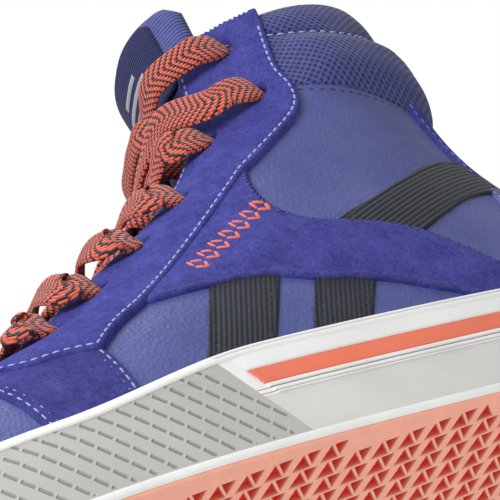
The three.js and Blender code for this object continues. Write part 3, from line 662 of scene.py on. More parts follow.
SUEDE = suede("suede", srgb(60, 61, 134), srgb(70, 71, 148), srgb(82, 83, 163))
# The toe pieces' suede is the same suede a little darker.
SUEDE_TOE = suede("suede_toe", srgb(58, 58, 124), srgb(67, 67, 137), srgb(78, 78, 152))
LEATHER = leather("leather", srgb(76, 84, 144), srgb(85, 93, 153), srgb(96, 104, 164))
STRAP = ribbed("dark_strap", srgb(12, 15, 22), srgb(40, 46, 58), 0.0015, 0.55, tilt=24)
PANEL = ribbed("dark_twill", srgb(14, 17, 25), srgb(44, 50, 64), 0.0014, 0.55, tilt=58)
COLLAR = open_mesh("collar_mesh", srgb(40, 42, 84), srgb(78, 82, 142), 0.0017)
LINER = ribbed("lining_textile", srgb(48, 50, 100), srgb(66, 70, 128), 0.0011, 0.9, depth=0.0003)
NAVY = ribbed("navy_textile", srgb(28, 30, 74), srgb(44, 46, 98), 0.0010, 0.85, depth=0.0003)
TONGUE = ribbed("tongue_textile", srgb(64, 70, 130), srgb(92, 100, 162), 0.0013, 0.8)
GREY = thread("grey_print", srgb(176, 177, 184))
STITCH = thread("blue_stitch", srgb(166, 176, 228))
SELF_STITCH = thread("suede_stitch", srgb(52, 52, 118))
DARK_STITCH = thread("dark_stitch", srgb(22, 25, 40))
CORAL_THREAD = thread("coral_thread", srgb(244, 110, 80))
STRIPE_RUBBER = rubber("coral_rubber", srgb(240, 126, 98), 0.5)
WALL = wall_rubber()
TREAD = tread_rubber()
LACE_WEAVE = lace_weave()
LIP = rubber("lip_rubber", srgb(242, 242, 240), 0.5, 0.02)
BOARD = rubber("fibre_board", srgb(180, 165, 135), 0.9, 0.15)
FOAM = rubber("foam", srgb(200, 200, 204), 0.9, 0.08)
TIP = nodes_of("clear_plastic", srgb(220, 214, 205), 0.2, Coat_Weight=0.5)[0]


# ---- The outlines, given in the side view in the loops' own millimetres ----
SOLE = 20.5  # the height at which the upper meets the sole
EYESTAY_REAR = [(98, 186), (93, 168), (89, 157), (85, 145), (84, 136), (81, 128), (75, 122), (63, 115), (48, 107)]
EYESTAY_LOWER = [(48, 107), (21, 88), (-8, 68), (-22, 60), (-34, 51)]
EYESTAY_FRONT = [(-34, 51), (-44, 53), (-55, 54.5), (-63, 61), (-67, 70), (-67, 90)]
TOE_OVERLAY_FRONT = [(-59, SOLE), (-61, 26), (-64, 42), (-69, 54), (-77, 66), (-83, 84)]
TOE_OVERLAY_REAR = [(-33, SOLE), (-33, 51), (-40, 60), (-52, 66), (-58, 90)]
TOE_CAP_REAR = [(-94, SOLE), (-96, 26), (-101, 42), (-110, 53), (-119, 60), (-124, 72)]
SADDLE_TOP = [(50, 110), (46, 99), (46, 89), (50, 81.5), (58, 77.5), (72, 73.5), (84, 67), (96, 53), (108, 34),
              (114, SOLE)]
SADDLE_LOWER = [(72, SOLE), (84, 32), (78, 40), (72, 43), (62, 48.5), (50, 53), (40, 55.5), (32, 59), (22, 62.5),
                (-10, 66)]
SADDLE_TUCK = [(-13, 70), (18, 91), (44, 110)]
BAND_TOP = [(48, 72), (62, 78.5), (79, 85), (97, 93), (118, 102), (165, 113)]
BAND_LOWER = [(50, 54), (66, 59), (84, 67), (100, 75), (122, 84.5), (165, 95)]
BACKSTAY_FRONT = [(102, SOLE), (104, 30), (111, 48), (121, 66), (127, 86), (129, 104), (127, 120), (124, 132)]
MESH_LOWER = [(70, 142), (84, 137), (93, 133), (109, 130), (128, 127.5), (165, 126)]
MESH_UPPER = [(72, 170), (88, 163), (100, 158), (116, 155), (130, 157.5), (165, 160)]
VAMP_SEAM = [(-48, SOLE), (-52, 40), (-55, 100)]
DARK_PANELS = {"front": [(-15, 24), (-15, 30), (13, 72), (37, 72), (7, 30), (7, 24)],
               "rear": [(19, 24), (19, 30), (43, 64), (65, 64), (39, 30), (39, 24)]}
FACING = [(-50, 66), (-26, 69), (-8, 76), (13, 87), (36, 101), (60, 119), (84, 128), (91, 150), (97, 200)]
RIM_RING = 9.97
TANGENT = 1e-4


def side_line(points, smooth_line=True):
    """A line in the side view as (angle, ring) on the lateral side, cut where it reaches either centre line."""
    dense = curve(points, 90) if smooth_line else resample(points, 2.0)
    found = from_side(dense)
    inner = (found[:, 0] > 0.015) & (found[:, 0] < math.pi - 0.015)
    first, last = np.flatnonzero(inner)[[0, -1]]
    kept = list(found[first:last + 1])
    if last + 1 < len(found):
        kept.append((0.0 if found[last + 1, 0] < 1 else math.pi, found[last + 1, 1]))
    return np.array(kept)


def flipped(line, about=0.0):
    """The same line on the other side, about the toe's or the heel's centre line, and in reverse."""
    return (np.array(line) * (-1, 1) + (2 * about, 0))[::-1]


def across(line, about=0.0):
    """A line that ends on a centre line, carried on over it."""
    return np.vstack([line, flipped(line, about)[1:]])


def along_ring(ring, start, end, count=40):
    return np.stack([np.linspace(start, end, count), np.full(count, float(ring))], -1)


# The throat: a U, 20 mm to each side of the middle, and a little wider at the collar.
def throat_edge(inset_by=0.0):
    """The throat's edge as (angle, ring), from the collar's rim down one side to its front on the centre line."""
    half, front = 20 + inset_by, -46 - inset_by
    bend = np.linspace(math.pi / 2, 0, 14)
    plan = [(100, 25 + inset_by), (70, 22.5 + inset_by), (40, half)]
    plan += [(front + half - half * math.cos(t), half * math.sin(t)) for t in bend]
    line = from_top(resample(np.array(plan) * (1, -1), 2.0))
    line = line[(line[:, 1] < RIM_RING) & (line[:, 0] > 0.02)]
    rim = angle_at(RIM_RING, -24.0 - inset_by)[0]
    end = from_top([(front, -TANGENT)])[0]
    return np.vstack([[(rim, RIM_RING)], line, [(0, end[1])]])


def u_shape(outer):
    """A U from its outer line, which runs from the rim to the centre line, and the throat's edge."""
    inner = throat_edge()
    rim = along_ring(RIM_RING, inner[0, 0], outer[0, 0], 14)[1:-1]
    half = np.vstack([outer[::-1], rim[::-1], inner])
    return outline_of([half, flipped(half)])


def eyelet_loop(k, side, radius=2.7):
    ring, phi = EYELETS[k][0], side * math.radians(EYELETS[k][1])
    normal, up, around = frames(ring, phi)
    turn = np.linspace(0, math.tau, 17)[:-1]
    return np.stack([phi + radius * np.cos(turn) / np.linalg.norm(around),
                     ring + radius * np.sin(turn) / np.linalg.norm(up)], -1)


def rows_at(outline, distances, keep=None):
    """Stitch lines inside an outline, cut into runs where they leave it or where keep(line) is false."""
    rim = [surface(outline[:, 1], outline[:, 0])]
    lines = []
    for distance in distances:
        line = inset(outline, distance)
        line = np.vstack([line, line[:1]])
        ok = np.abs(to_loops(surface(line[:, 1], line[:, 0]), rim) - distance) < 0.1 + 0.06 * distance
        ok &= line[:, 1] > 0.2
        if keep is not None:
            ok &= keep(line)
        run = []
        for good, point in zip(ok, line):
            if good:
                run.append(point)
            elif len(run) > 3:
                lines.append(np.array(run))
                run = []
            else:
                run = []
        if len(run) > 3:
            lines.append(np.array(run))
    return lines


EYELETS = [(4.42, 54), (5.2, 54), (5.98, 55), (6.93, 54), (8.3, 47), (8.5, 69), (9.55, 58)]  # ring, degrees
SIDES = {"lateral": LATERAL, "medial": MEDIAL}


# ---- The upper's base: vamp, quarters and lining ----
def base_pieces():
    seam = side_line(VAMP_SEAM)
    vamp = outline_of([across(seam), along_ring(0.02, -seam[0, 0], seam[0, 0])], 2.4)
    made = panel("vamp_leather", vamp, LEATHER, base=-1.6, thick=1.6, groove=0)
    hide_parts("vamp")
    throat = throat_edge(0.8)
    rear = np.stack([np.full(20, math.pi), np.linspace(0.02, 9.8, 20)], -1)
    for side, sign in SIDES.items():
        half = np.vstack([along_ring(0.02, seam[0, 0], math.pi), rear, along_ring(9.8, math.pi, throat[0, 0]),
                          throat[throat[:, 1] < 9.8], seam[::-1]])
        outline = outline_of([half if sign > 0 else flipped(half)], 2.4)
        holes = [eyelet_loop(k, sign) for k in range(len(EYELETS))]
        made = panel(f"quarter_leather_{side}", outline, LEATHER, base=-1.6, thick=1.6, groove=0, holes=holes)
        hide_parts(f"quarter_{side}")


def lining_piece():
    facing = side_line(FACING)
    half = np.vstack([along_ring(0.02, 0.0, math.pi), [(math.pi, 9.7)],
                      along_ring(9.7, math.pi, facing[-1, 0])[1:], facing[facing[:, 1] < 9.7][::-1]])
    front = from_top([(-52, -TANGENT)])[0]
    half = np.vstack([half, [(0.0, front[1])]])
    body = [panel(f"lining_{side}", outline_of([half if sign > 0 else flipped(half)], 3.0), LINER, base=-3.9,
                  thick=0.8, groove=0, inward=True, spacing=3.2) for side, sign in SIDES.items()]
    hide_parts("lining")


# ---- Overlays ----
def eyestay_piece():
    outer = np.vstack([side_line(EYESTAY_REAR), side_line(EYESTAY_LOWER)[1:], side_line(EYESTAY_FRONT)[1:]])
    outer = outer[outer[:, 1] < RIM_RING]
    outer = np.vstack([(outer[0, 0], RIM_RING), outer])
    outline = u_shape(outer)
    holes = [eyelet_loop(k, sign) for sign in (1, -1) for k in range(len(EYELETS))]
    made = panel("eyestay_suede", outline, SUEDE, base=0.7, thick=2.0, puff=0.2, holes=holes, spacing=2.0, edge=1.0)
    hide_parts("eyestay")
    rows = rows_at(outline, (1.6,), lambda line: line[:, 1] < 9.7)
    sewn = stitches("eyestay_stitches", rows, STITCH, base=2.6)
    return outline


def wrapped(name, outline, material, slot, replaced, base, thick, rows, thread_material, keep=None, **options):
    made = panel(name, outline, material, base=base, thick=thick, **options)
    if replaced:
        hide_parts(*replaced)
    if rows:
        lines = rows_at(outline, rows, keep)
        sewn = stitches(f"{name}_stitches", lines, thread_material, base=base + thick - 0.1, wide=0.7)
    return made


def toe_pieces():
    front, rear = side_line(TOE_OVERLAY_FRONT), side_line(TOE_OVERLAY_REAR)
    outline = outline_of([across(front), flipped(rear)[::-1], rear[::-1]])
    wrapped("toe_overlay_suede", outline, SUEDE_TOE, "suede", ["toe_overlay"], 0, 1.5, (1.6, 3.4), STITCH)
    cap = side_line(TOE_CAP_REAR)
    outline = outline_of([across(cap), along_ring(0.02, -cap[0, 0], cap[0, 0])])
    wrapped("toe_cap_suede", outline, SUEDE_TOE, "suede", ["toe_cap"], 0, 1.5, (1.6, 3.4), STITCH)


def saddle_pieces():
    top = side_line(SADDLE_TOP)
    bottom = from_side(resample([(114, SOLE), (72, SOLE)], 2))[1:-1]
    lower = side_line(SADDLE_LOWER)
    tuck = side_line(SADDLE_TUCK)
    half = np.vstack([top, bottom, lower, tuck])
    for side, sign in SIDES.items():
        outline = outline_of([half if sign > 0 else flipped(half)])
        wrapped(f"saddle_suede_{side}", outline, SUEDE, "suede", [f"saddle_{side}"], 0.6, 1.2, (1.6,), SELF_STITCH,
                puff=0.2)
        motif(side, sign)


def motif(side, sign):
    """A row of small diamonds, embroidered on the saddle."""
    lines = []
    centre = resample([(11, 73.6), (42, 90)], 5.8)
    along = unit(centre[-1] - centre[0])
    up = np.array([-along[1], along[0]])
    for c in centre:
        corners = [c + along * 2.1, c + up * 3.3, c - along * 2.1, c - up * 3.3]
        for a, b in zip(corners, corners[1:] + corners[:1]):
            lines.append(from_side([a, b]) * (sign, 1))
    sewn = stitches(f"diamonds_{side}", lines, CORAL_THREAD, base=1.95, pitch=3.6, long=3.9, wide=1.35)


def heel_pieces():
    band = outline_of([across(side_line(BAND_TOP), math.pi), across(side_line(BAND_LOWER), math.pi)[::-1]])
    wrapped("ankle_strap", band, STRAP, "dark_twill", ["ankle_band"], 0, 1.1, (2.4,), DARK_STITCH, puff=0.2)
    front = side_line(BACKSTAY_FRONT)
    split = np.argmax(surface(front[:, 1], front[:, 0])[:, 2] > 97)
    low, high = front[:split + 1], front[split - 1:]
    level = lambda line, about: along_ring(line[1], line[0], 2 * about - line[0], 40)
    outline = outline_of([low, level(low[-1], math.pi)[1:-1], flipped(low, math.pi),
                          along_ring(0.02, math.tau - low[0, 0], low[0, 0])])
    wrapped("backstay_leather", outline, LEATHER, "leather", ["backstay_lower"], 0, 1.1, (1.6,), STITCH)
    outline = outline_of([high, level(high[-1], math.pi)[1:-1], flipped(high, math.pi),
                          level(high[0], math.pi)[::-1][1:-1]])
    wrapped("backstay_strip", outline, SUEDE, "suede", ["backstay_upper"], 0.1, 1.3, (1.6,), STITCH)


def side_panels():
    for name, points in DARK_PANELS.items():
        line = from_side(resample(points + points[:1], 1.2))
        for side, sign in SIDES.items():
            outline = outline_of([line if sign > 0 else flipped(line)], 1.2)
            wrapped(f"side_{name}_{side}", outline, PANEL, "dark_twill", [f"side_panel_{name}_{side}"], 0, 0.9,
                    (2.4,), DARK_STITCH)


def collar_pieces():
    lower, upper = side_line(MESH_LOWER), side_line(MESH_UPPER)
    outline = outline_of([across(upper, math.pi), across(lower, math.pi)[::-1]])
    made = panel("collar_textile", outline, COLLAR, base=-0.2, thick=1.1, seam=1.0, spacing=2.6, edge=1.5,
                 swell=lambda on, far: 2.0 * smooth((far - 1) / 7) * smooth((on[:, 0] - 90) / 12))
    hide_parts("collar_mesh")
    seams = {"lower": (resample(across(lower, math.pi) - (0, 0.08), 0.02), DARK_STITCH, 0.05),
             "upper": (resample(across(upper, math.pi) - (0, 0.02), 0.02), STITCH, 1.0)}
    for name, (line, material, base) in seams.items():
        line = line[(line[:, 0] > outline[:, 0].min() + 0.05) & (line[:, 0] < outline[:, 0].max() - 0.05)]
        sewn = stitches(f"collar_stitches_{name}", [line], material, base=base, pitch=3.4)
    # The roll: up the outside from the mesh's top seam, over the rim and down the inside.
    start = throat_edge()[0, 0]
    phis = np.linspace(start, math.tau - start, 150)
    line = across(upper, math.pi)
    seam = np.interp(phis, line[:, 0], line[:, 1], left=9.2, right=9.2)
    seam = np.where((phis < line[0, 0]) | (phis > line[-1, 0]), 9.2, seam)
    rows = []
    for t in np.linspace(0, 1, 9):
        ring = mix(seam, 9.86, t)
        swollen = 1.3 * math.sin(math.pi * min(1, t * 1.05)) ** 0.6 if 0 < t < 1 else 0
        rows.append(raised(ring, phis, padding(ring, phis) + swollen + (-0.3 if t == 0 else 0)))
    for turn in np.linspace(0.25, math.pi, 9):
        d = -2.45 + 2.45 * math.cos(turn)
        rows.append(raised(9.86 + 0.09 * math.sin(turn), phis, d))
    for ring, d in ((9.6, -5.3), (9.2, -6.0), (8.6, -6.6), (8.0, -6.6), (7.4, -6.0), (7.0, -5.3), (6.8, -4.7)):
        rows.append(raised(0 * phis + ring, phis, d))
    points = placed(np.vstack(rows))
    made = add_mesh("collar_roll", points, grid_faces(len(rows), len(phis)), COLLAR)
    flip_if_inward(made)
    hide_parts("collar_top")


def flip_if_inward(made):
    """Turns the faces round if most of them face the shoe's middle at ankle height."""
    middle = Vector(placed([(80, 0, 90)])[0])
    vote = sum((p.center - middle).dot(p.normal) * p.area for p in made.data.polygons)
    if vote < 0:
        made.data.flip_normals()


base_pieces()
lining_piece()
eyestay_outline = eyestay_piece()
toe_pieces()
saddle_pieces()
side_panels()
heel_pieces()
collar_pieces()


# ---- The cupsole ----
def row_grid(name, heights, offsets, phis, material, body="shoe", closed_section=False):
    """A band around the shoe: rows of heights and offsets, each a value per angle."""
    rows = [own_wall(phis, h + 0 * phis, d + 0 * phis) for h, d in zip(heights, offsets)]
    if closed_section:
        rows.append(rows[0])
    made = add_mesh(name, placed(np.vstack(rows)), grid_faces(len(rows), len(phis), True), material, body)
    return made


def wall_angles(step=1.7, near=(-9, 6)):
    """Angles at even steps along the wall, closer together where the stripe starts."""
    dense = np.linspace(0, math.tau, 6001)
    p = own_wall(dense, 22.0, 5.0)
    reach = np.concatenate([[0], np.cumsum(np.linalg.norm(np.diff(p[:, :2], axis=0), axis=1))])
    weight = np.where((p[:, 0] > near[0]) & (p[:, 0] < near[1]), 5.0, 1.0)
    grown = np.concatenate([[0], np.cumsum(np.diff(reach) * weight[1:])])
    phis = np.interp(np.linspace(0, grown[-1], int(grown[-1] / step) + 1)[:-1], grown, dense)
    # Distance along the wall from x = 0 on each side, so that a pattern isn't stretched at the toe.
    zero = [np.interp(0, p[:3001, 0], reach[:3001]), np.interp(0, -p[3000:, 0], reach[3000:])]
    u = np.where(dense <= math.pi, reach - zero[0], zero[1] - reach)
    return phis, np.interp(phis, dense, u)


SLANT = 0.41  # how far the stripe's end leans back for each mm down


def stripe_start(z):
    """x at which the stripe's slanted front end lies, at a height."""
    return -5 + (27 - z) * SLANT


def cupsole():
    phis, u = wall_angles()
    x = own_wall(phis, 22.0, 5.0)[:, 0]
    top = wall_top(surface(1, phis)[:, 0])
    # Each row: the height, then the offset forward and rearward of the stripe's start.
    rows = [(0.9, 0.6, 0.6), (0.85, 3.2, 3.2), (1.0, 4.1, 4.1), (1.4, 4.55, 4.55), (2.3, 4.85, 4.85),
            (2.65, 4.75, 4.75), (2.85, 4.4, 4.4), (3.3, 4.4, 4.4), (6, 4.6, 4.6), (9, 4.75, 4.75), (12, 4.85, 4.85),
            (15, 4.95, 4.95), (17.2, 5, 5), (17.45, 5, 5), (17.6, 5, 5.4), (18.0, 5, 5.45), (18.15, 5, 5.05),
            (18.5, 5.02, 5.05), (18.65, 5.03, 5.45), (19.5, 5.05, 5.45), (19.65, 5.05, 5.05), (20, 5.05, 5.05),
            (20.15, 5.05, 5.45), (21.0, 5.08, 5.45), (21.3, 5.08, 5.35), (21.45, 5.08, 4.5), (23, 5.1, 4.5),
            (25, 5.1, 4.5), (26.85, 5.1, 4.5), (27.0, 5.1, 5.35)]
    heights = [h + 0 * phis for h, _, _ in rows]
    offsets = [mix(front, rear, smooth((x - stripe_start(h)) / 0.7 + 0.5)) for h, front, rear in rows]
    for t, front, rear in ((0.08, 5.25, 5.42), (0.4, 5.25, 5.38), (0.8, 5.15, 5.3)):
        heights.append(mix(27.0, top - 1.0, t))
        offsets.append(mix(front, rear, smooth((x - stripe_start(27)) / 5 + 0.5)))
    heights += [top - 1.0, top - 1.0]
    offsets += [4.9 + 0 * phis, 0.6 + 0 * phis]
    # Forward of the ball the wall is lower, and its upper rows draw together.
    limit = top - 1.2
    heights = [np.minimum(h, limit - 0.02 * (len(heights) - k)) if k > 20 else h for k, h in enumerate(heights)]
    wall = row_grid("wall", heights, offsets, phis, WALL, closed_section=True)
    v = np.concatenate(heights + [heights[0]])
    set_uv(wall, np.stack([np.tile(u, len(heights) + 1), v], -1))
    flip_if_inward(wall)
    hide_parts("cupsole_wall")
    # The top lip, with a groove rearward of the stripe's start.
    sunk = smooth((x + 11) / 2)
    lip = [(-3.1, 4.8, 0), (-3.1, 5.35, 0), (-2.95, 5.65, 0), (-2.5, 5.8, 0), (-2.05, 5.8, 0), (-1.98, 5.78, 0.9),
           (-1.5, 5.72, 0.9), (-1.4, 5.7, 0), (-1.0, 5.6, 0), (-0.5, 5.35, 0), (-0.15, 4.9, 0), (0, 4.3, 0),
           (0, 3.2, 0), (-0.3, 2.2, 0), (-0.8, 0.7, 0), (-3.1, 0.7, 0)]
    made = row_grid("wall_lip", [top + h for h, _, _ in lip], [d - cut * sunk for _, d, cut in lip], phis, LIP,
                    closed_section=True)
    flip_if_inward(made)


def stripe():
    """The coral stripe: one strip from the lateral side round the heel to the medial side."""
    phis, _ = wall_angles()
    x = own_wall(phis, 24.0, 5.0)[:, 0]
    phis = phis[x > stripe_start(27) - 1]
    rows, x_rows = [], []
    section = [(21.5, 4.3), (21.5, 5.0), (21.7, 5.18), (22.2, 5.25), (24.2, 5.27), (26.3, 5.22), (26.75, 5.12),
               (26.95, 4.95), (26.95, 4.3)]
    for height, d in section:
        # Each row ends on the slanted line.
        start = stripe_start(height) + 0.35
        q = own_wall(np.linspace(0.5, math.pi, 4001), height, d)
        first = np.interp(start, q[:, 0], np.linspace(0.5, math.pi, 4001))
        q = own_wall(np.linspace(math.pi, math.tau - 0.5, 4001), height, d)
        last = np.interp(-start, -q[:, 0], np.linspace(math.pi, math.tau - 0.5, 4001))
        span = (phis - phis[0]) / (phis[-1] - phis[0])
        rows.append(own_wall(first + span * (last - first), height, d))
    rows.append(rows[0])
    made = add_mesh("stripe", placed(np.vstack(rows)), grid_faces(len(rows), len(phis)), STRIPE_RUBBER)
    n = len(phis)
    end_faces(made, [k * n for k in range(len(section))], [k * n + n - 1 for k in range(len(section))])
    flip_if_inward(made)
    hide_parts("cupsole_stripe")


def end_faces(made, *rings):
    """Closes the ends of a swept piece, with their points given in order."""
    shape = bmesh.new()
    shape.from_mesh(made.data)
    shape.verts.ensure_lookup_table()
    for ring in rings:
        shape.faces.new([shape.verts[k] for k in ring])
    bmesh.ops.remove_doubles(shape, verts=shape.verts, dist=1e-7)
    bmesh.ops.recalc_face_normals(shape, faces=shape.faces)
    shape.to_mesh(made.data)
    shape.free()


def footprint(offset, count=260):
    return own_wall(np.arange(count) * math.tau / count, 22.0, offset)


def tread():
    """Rows of triangular pits in the outsole, each with a smaller one turned the other way beside it."""
    cell_x, cell_y, depth, border = 8.7, 6.1, 1.9, 1.6
    big = np.array([(0.2, 5.9), (6.2, 5.9), (3.1, 0.15)])
    small = np.array([(4.0, 0.25), (8.6, 0.25), (6.55, 5.2)])
    outline = footprint(2.6)
    loop = outline[:, :2]
    keep_in = footprint(2.6 - border)[:, :2]
    points, heights, edges = [*loop], [0.0] * len(loop), [(k, (k + 1) % len(loop)) for k in range(len(loop))]
    pits = []
    low, high = loop.min(0), loop.max(0)
    for i in range(int((high[0] - low[0]) / cell_x) + 1):
        for j in range(int((high[1] - low[1]) / cell_y) + 1):
            origin = low + (i * cell_x, j * cell_y)
            for shape in (big, small):
                corners = origin + shape
                if not (np.sum(inside(corners, keep_in), 1) % 2 == 1).all():
                    continue
                centre = corners.mean(0)
                for scale, height in ((1.0, 0.0), (0.94, 0.2), (0.7, depth)):
                    first = len(points)
                    points += list(centre + (corners - centre) * scale)
                    heights += [height] * 3
                    edges += [(first, first + 1), (first + 1, first + 2), (first + 2, first)]
                pits.append(centre)
    made = delaunay_2d_cdt([Vector(p) for p in points], edges, [], 1, 1e-5)
    xy = np.array([tuple(p) for p in made[0]])
    sources = made[3]
    z = np.array([heights[s[0]] if s else 0.0 for s in sources])
    faces = [tuple(f) for f in made[2]]
    level = z + lift(xy[:, 0])
    bottom = np.column_stack([xy, level])
    # The edge rises round a corner to meet the side wall, and the top is closed level with the midsole.
    n = len(loop)
    rim_index = [k for k, s in enumerate(sources) if any(q < n for q in s)]
    rim_index.sort(key=lambda k: min(sources[k]))
    count = len(bottom)
    extra, ring = [], rim_index
    skirt = []
    for offset, height in ((3.0, 0.2), (3.2, 0.6), (3.2, 0.86), (0.4, 0.95), (0.2, 5.0)):
        row = own_wall(np.arange(n) * math.tau / n, 22.0, offset)
        row[:, 2] = height + lift(row[:, 0])
        extra.append(row)
    lid = own_wall(np.arange(n) * math.tau / n, 22.0, 0.0)
    lid[:, 2] = 5.0 + lift(lid[:, 0])
    for k in range(len(extra)):
        new = [count + k * n + q for q in range(n)]
        skirt += [(ring[q], ring[(q + 1) % n], new[(q + 1) % n], new[q]) for q in range(n)]
        ring = new
    top = delaunay_2d_cdt([Vector(p) for p in extra[-1][:, :2]], [(k, (k + 1) % n) for k in range(n)], [], 1, 1e-5)
    cap = [tuple(count + 4 * n + top[3][v][0] for v in f) for f in top[2]]
    points = np.vstack([bottom] + extra)
    body = add_mesh("tread", placed(points), faces + skirt + cap, TREAD, smooth_faces=False)
    # The pit attribute is each point's depth, which the rubber's colour turns into painted shade.
    pit = body.data.attributes.new("pit", "FLOAT", "POINT")
    pit.data.foreach_set("value", np.concatenate([z / depth, np.zeros(len(points) - len(z))]))
    end_faces(body)
    body.visible_diffuse = False  # the coral doesn't tint the floor
    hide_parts("outsole")


# ---- The tongue ----
def pad_sheet(name, outer, inner, rings, half, material, corner, edge_round, columns=40, rows=60):
    """A closed pad on the tongue, in mm off the upper's surface, thinned in a round at its edge."""
    ring, s = np.meshgrid(np.linspace(*rings, rows), np.linspace(-1, 1, columns), indexing="ij")
    ring, s = ring.ravel(), s.ravel()
    length = 34.0 * (rings[1] - rings[0])
    from_end = np.minimum(ring - rings[0], rings[1] - ring) / (rings[1] - rings[0]) * length
    draw = corner * (1 - np.sqrt(1 - (1 - np.clip(from_end / corner, 0, 1)) ** 2))
    y = s * (half - draw)
    phi = angle_at(ring, y)
    far = np.minimum(from_end, (1 - np.abs(s)) * half)
    full = np.sqrt(1 - (1 - np.clip(far / edge_round, 0, 1)) ** 2)
    flare = 6 * smooth((ring - 9.2) / 1.8)
    middle, thick = (outer + inner) / 2, (outer - inner) / 2
    top = raised(ring, phi, middle + flare + thick * full)
    bottom = raised(ring, phi, middle + flare - thick * full)
    face = grid_faces(rows, columns)
    points = np.vstack([top, bottom])
    made = add_mesh(name, placed(points), np.vstack([face, face[:, ::-1] + len(top)]), material, "tongue")
    end_faces(made)
    return made


def tongue():
    pad = pad_sheet("tongue_pad", -5.0, -12.0, (4.3, 10.98), 28, TONGUE, 9, 4.0)
    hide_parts("tongue_face", "tongue_foam", "tongue_lining")
    patch = pad_sheet("tongue_label", -3.5, -5.3, (9.72, 10.82), 20, NAVY, 4, 0.8, 44, 40)
    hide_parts("tongue_patch")
    points, faces = [], []
    for k, (reach, width) in enumerate(((11, 1.6), (11, 1.6), (7, 1.6))):
        low = 10.04 + 0.16 * k
        ring, y = np.meshgrid(np.linspace(low, low + 0.075, 5), np.linspace(-reach, reach, 24), indexing="ij")
        ring, y = ring.ravel(), y.ravel()
        phi = angle_at(ring, y)
        flare = 6 * smooth((ring - 9.2) / 1.8)
        edge = ((ring > low + 0.001) & (ring < low + 0.074) & (np.abs(y) < reach - 0.01)).astype(float)
        for d in (-3.4 + 0.35 * edge, -3.6 + 0 * edge):
            points.append(raised(ring, phi, d + flare))
        start = sum(len(p) for p in points[:-2])
        face = grid_faces(5, 24) + start
        faces += [face, face[:, ::-1] + len(ring)]
    bars = add_mesh("tongue_bars", placed(np.vstack(points)), np.vstack(faces), GREY, "tongue")
    end_faces(bars)
    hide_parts("tongue_badge")


# ---- The lace ----
LACE = {"wide": 11.0, "thick": 2.3, "bunched_wide": 5.0, "bunched_thick": 3.2}
OVER, UNDER = 3.3, -3.1  # the lace's centre where it lies on the eyestay, and behind it
# Into an eyelet from outside and back behind the eyestay: mm towards the throat, height, flatness.
DIVE = [(9, OVER + 5.4, 1), (5.4, OVER + 3.9, 1), (2.8, OVER + 1.9, 0.75), (0.9, 3.0, 0.35), (0.1, 1.2, 0.05), (0, -1, 0),
        (0.5, -2.4, 0), (2.4, -3.3, 0), (5, UNDER, 0.5), (9, UNDER, 1)]
SET_BACK = 60


def station(ring, phi, d, flat):
    """A place on the lace's path, the way its face looks there, and how flat it is."""
    normal = frames(ring, phi)[0][0]
    tilt = 0.9 * smooth((d - 2.4) / 2) * smooth((abs(phi) - 0.2) / 0.5)
    return np.concatenate([raised(ring, phi, d)[0], normal + tilt * np.array([-0.6, -0.6 * np.sign(phi), -0.25]), [flat]])


def eyelet_at(k, side):
    return EYELETS[k][0], side * math.radians(EYELETS[k][1])


def dive(k, side):
    ring, phi = eyelet_at(k, side)
    per_radian = np.linalg.norm(frames(ring, phi)[2])
    far = EYELETS[k][1] > SET_BACK
    places = [(16, OVER + 6.5, 1), *DIVE, (16, UNDER, 1)] if far else DIVE
    return [station(ring, phi - side * back / per_radian, d, flat) for back, d, flat in places]


def across_throat(near, along, y):
    slope = unit(surface(near + 0.5, 0) - surface(near - 0.5, 0))[0]
    below = lambda ring: (surface(ring, angle_at(ring, y)) - along) @ slope < 0
    ring = bisect([3.0], [11.0], below)[0]
    return ring, angle_at(ring, y)[0]


def crossing(k, side, high):
    """Across the throat, from under the eyestay on one side to over it on the other."""
    (ring, phi), (ring_to, phi_to) = eyelet_at(k, side), eyelet_at(k + 1, -side)
    start, end = surface(ring, phi)[0], surface(ring_to, phi_to)[0]
    middle = 7.6 if high else 5.0
    made = []
    for reach, d in ((18, UNDER), (10, middle), (0, middle), (-10, middle), (-19, OVER + 6.2)):
        y = -side * reach
        along = mix(start, end, (start[1] - y) / (start[1] - end[1]))
        made.append(station(*across_throat((ring + ring_to) / 2, along, y), d, 1))
    return made


def tail(side):
    places = [(9.35, 61, -5.2, 0.3), (9.1, 65, -7.2, 0.8), (8.7, 69, -7.6, 1), (8.1, 71, -7.6, 1),
              (7.5, 72, -7.6, 0.8)]
    return [station(ring, side * math.radians(degrees), d, flat) for ring, degrees, d, flat in places]


def half_lace(side, high):
    stations = dive(0, side)
    for k in range(len(EYELETS) - 1):
        stations += crossing(k, side, high)
        side = -side
        stations += dive(k + 1, side)
    return stations[:-2] + tail(side)


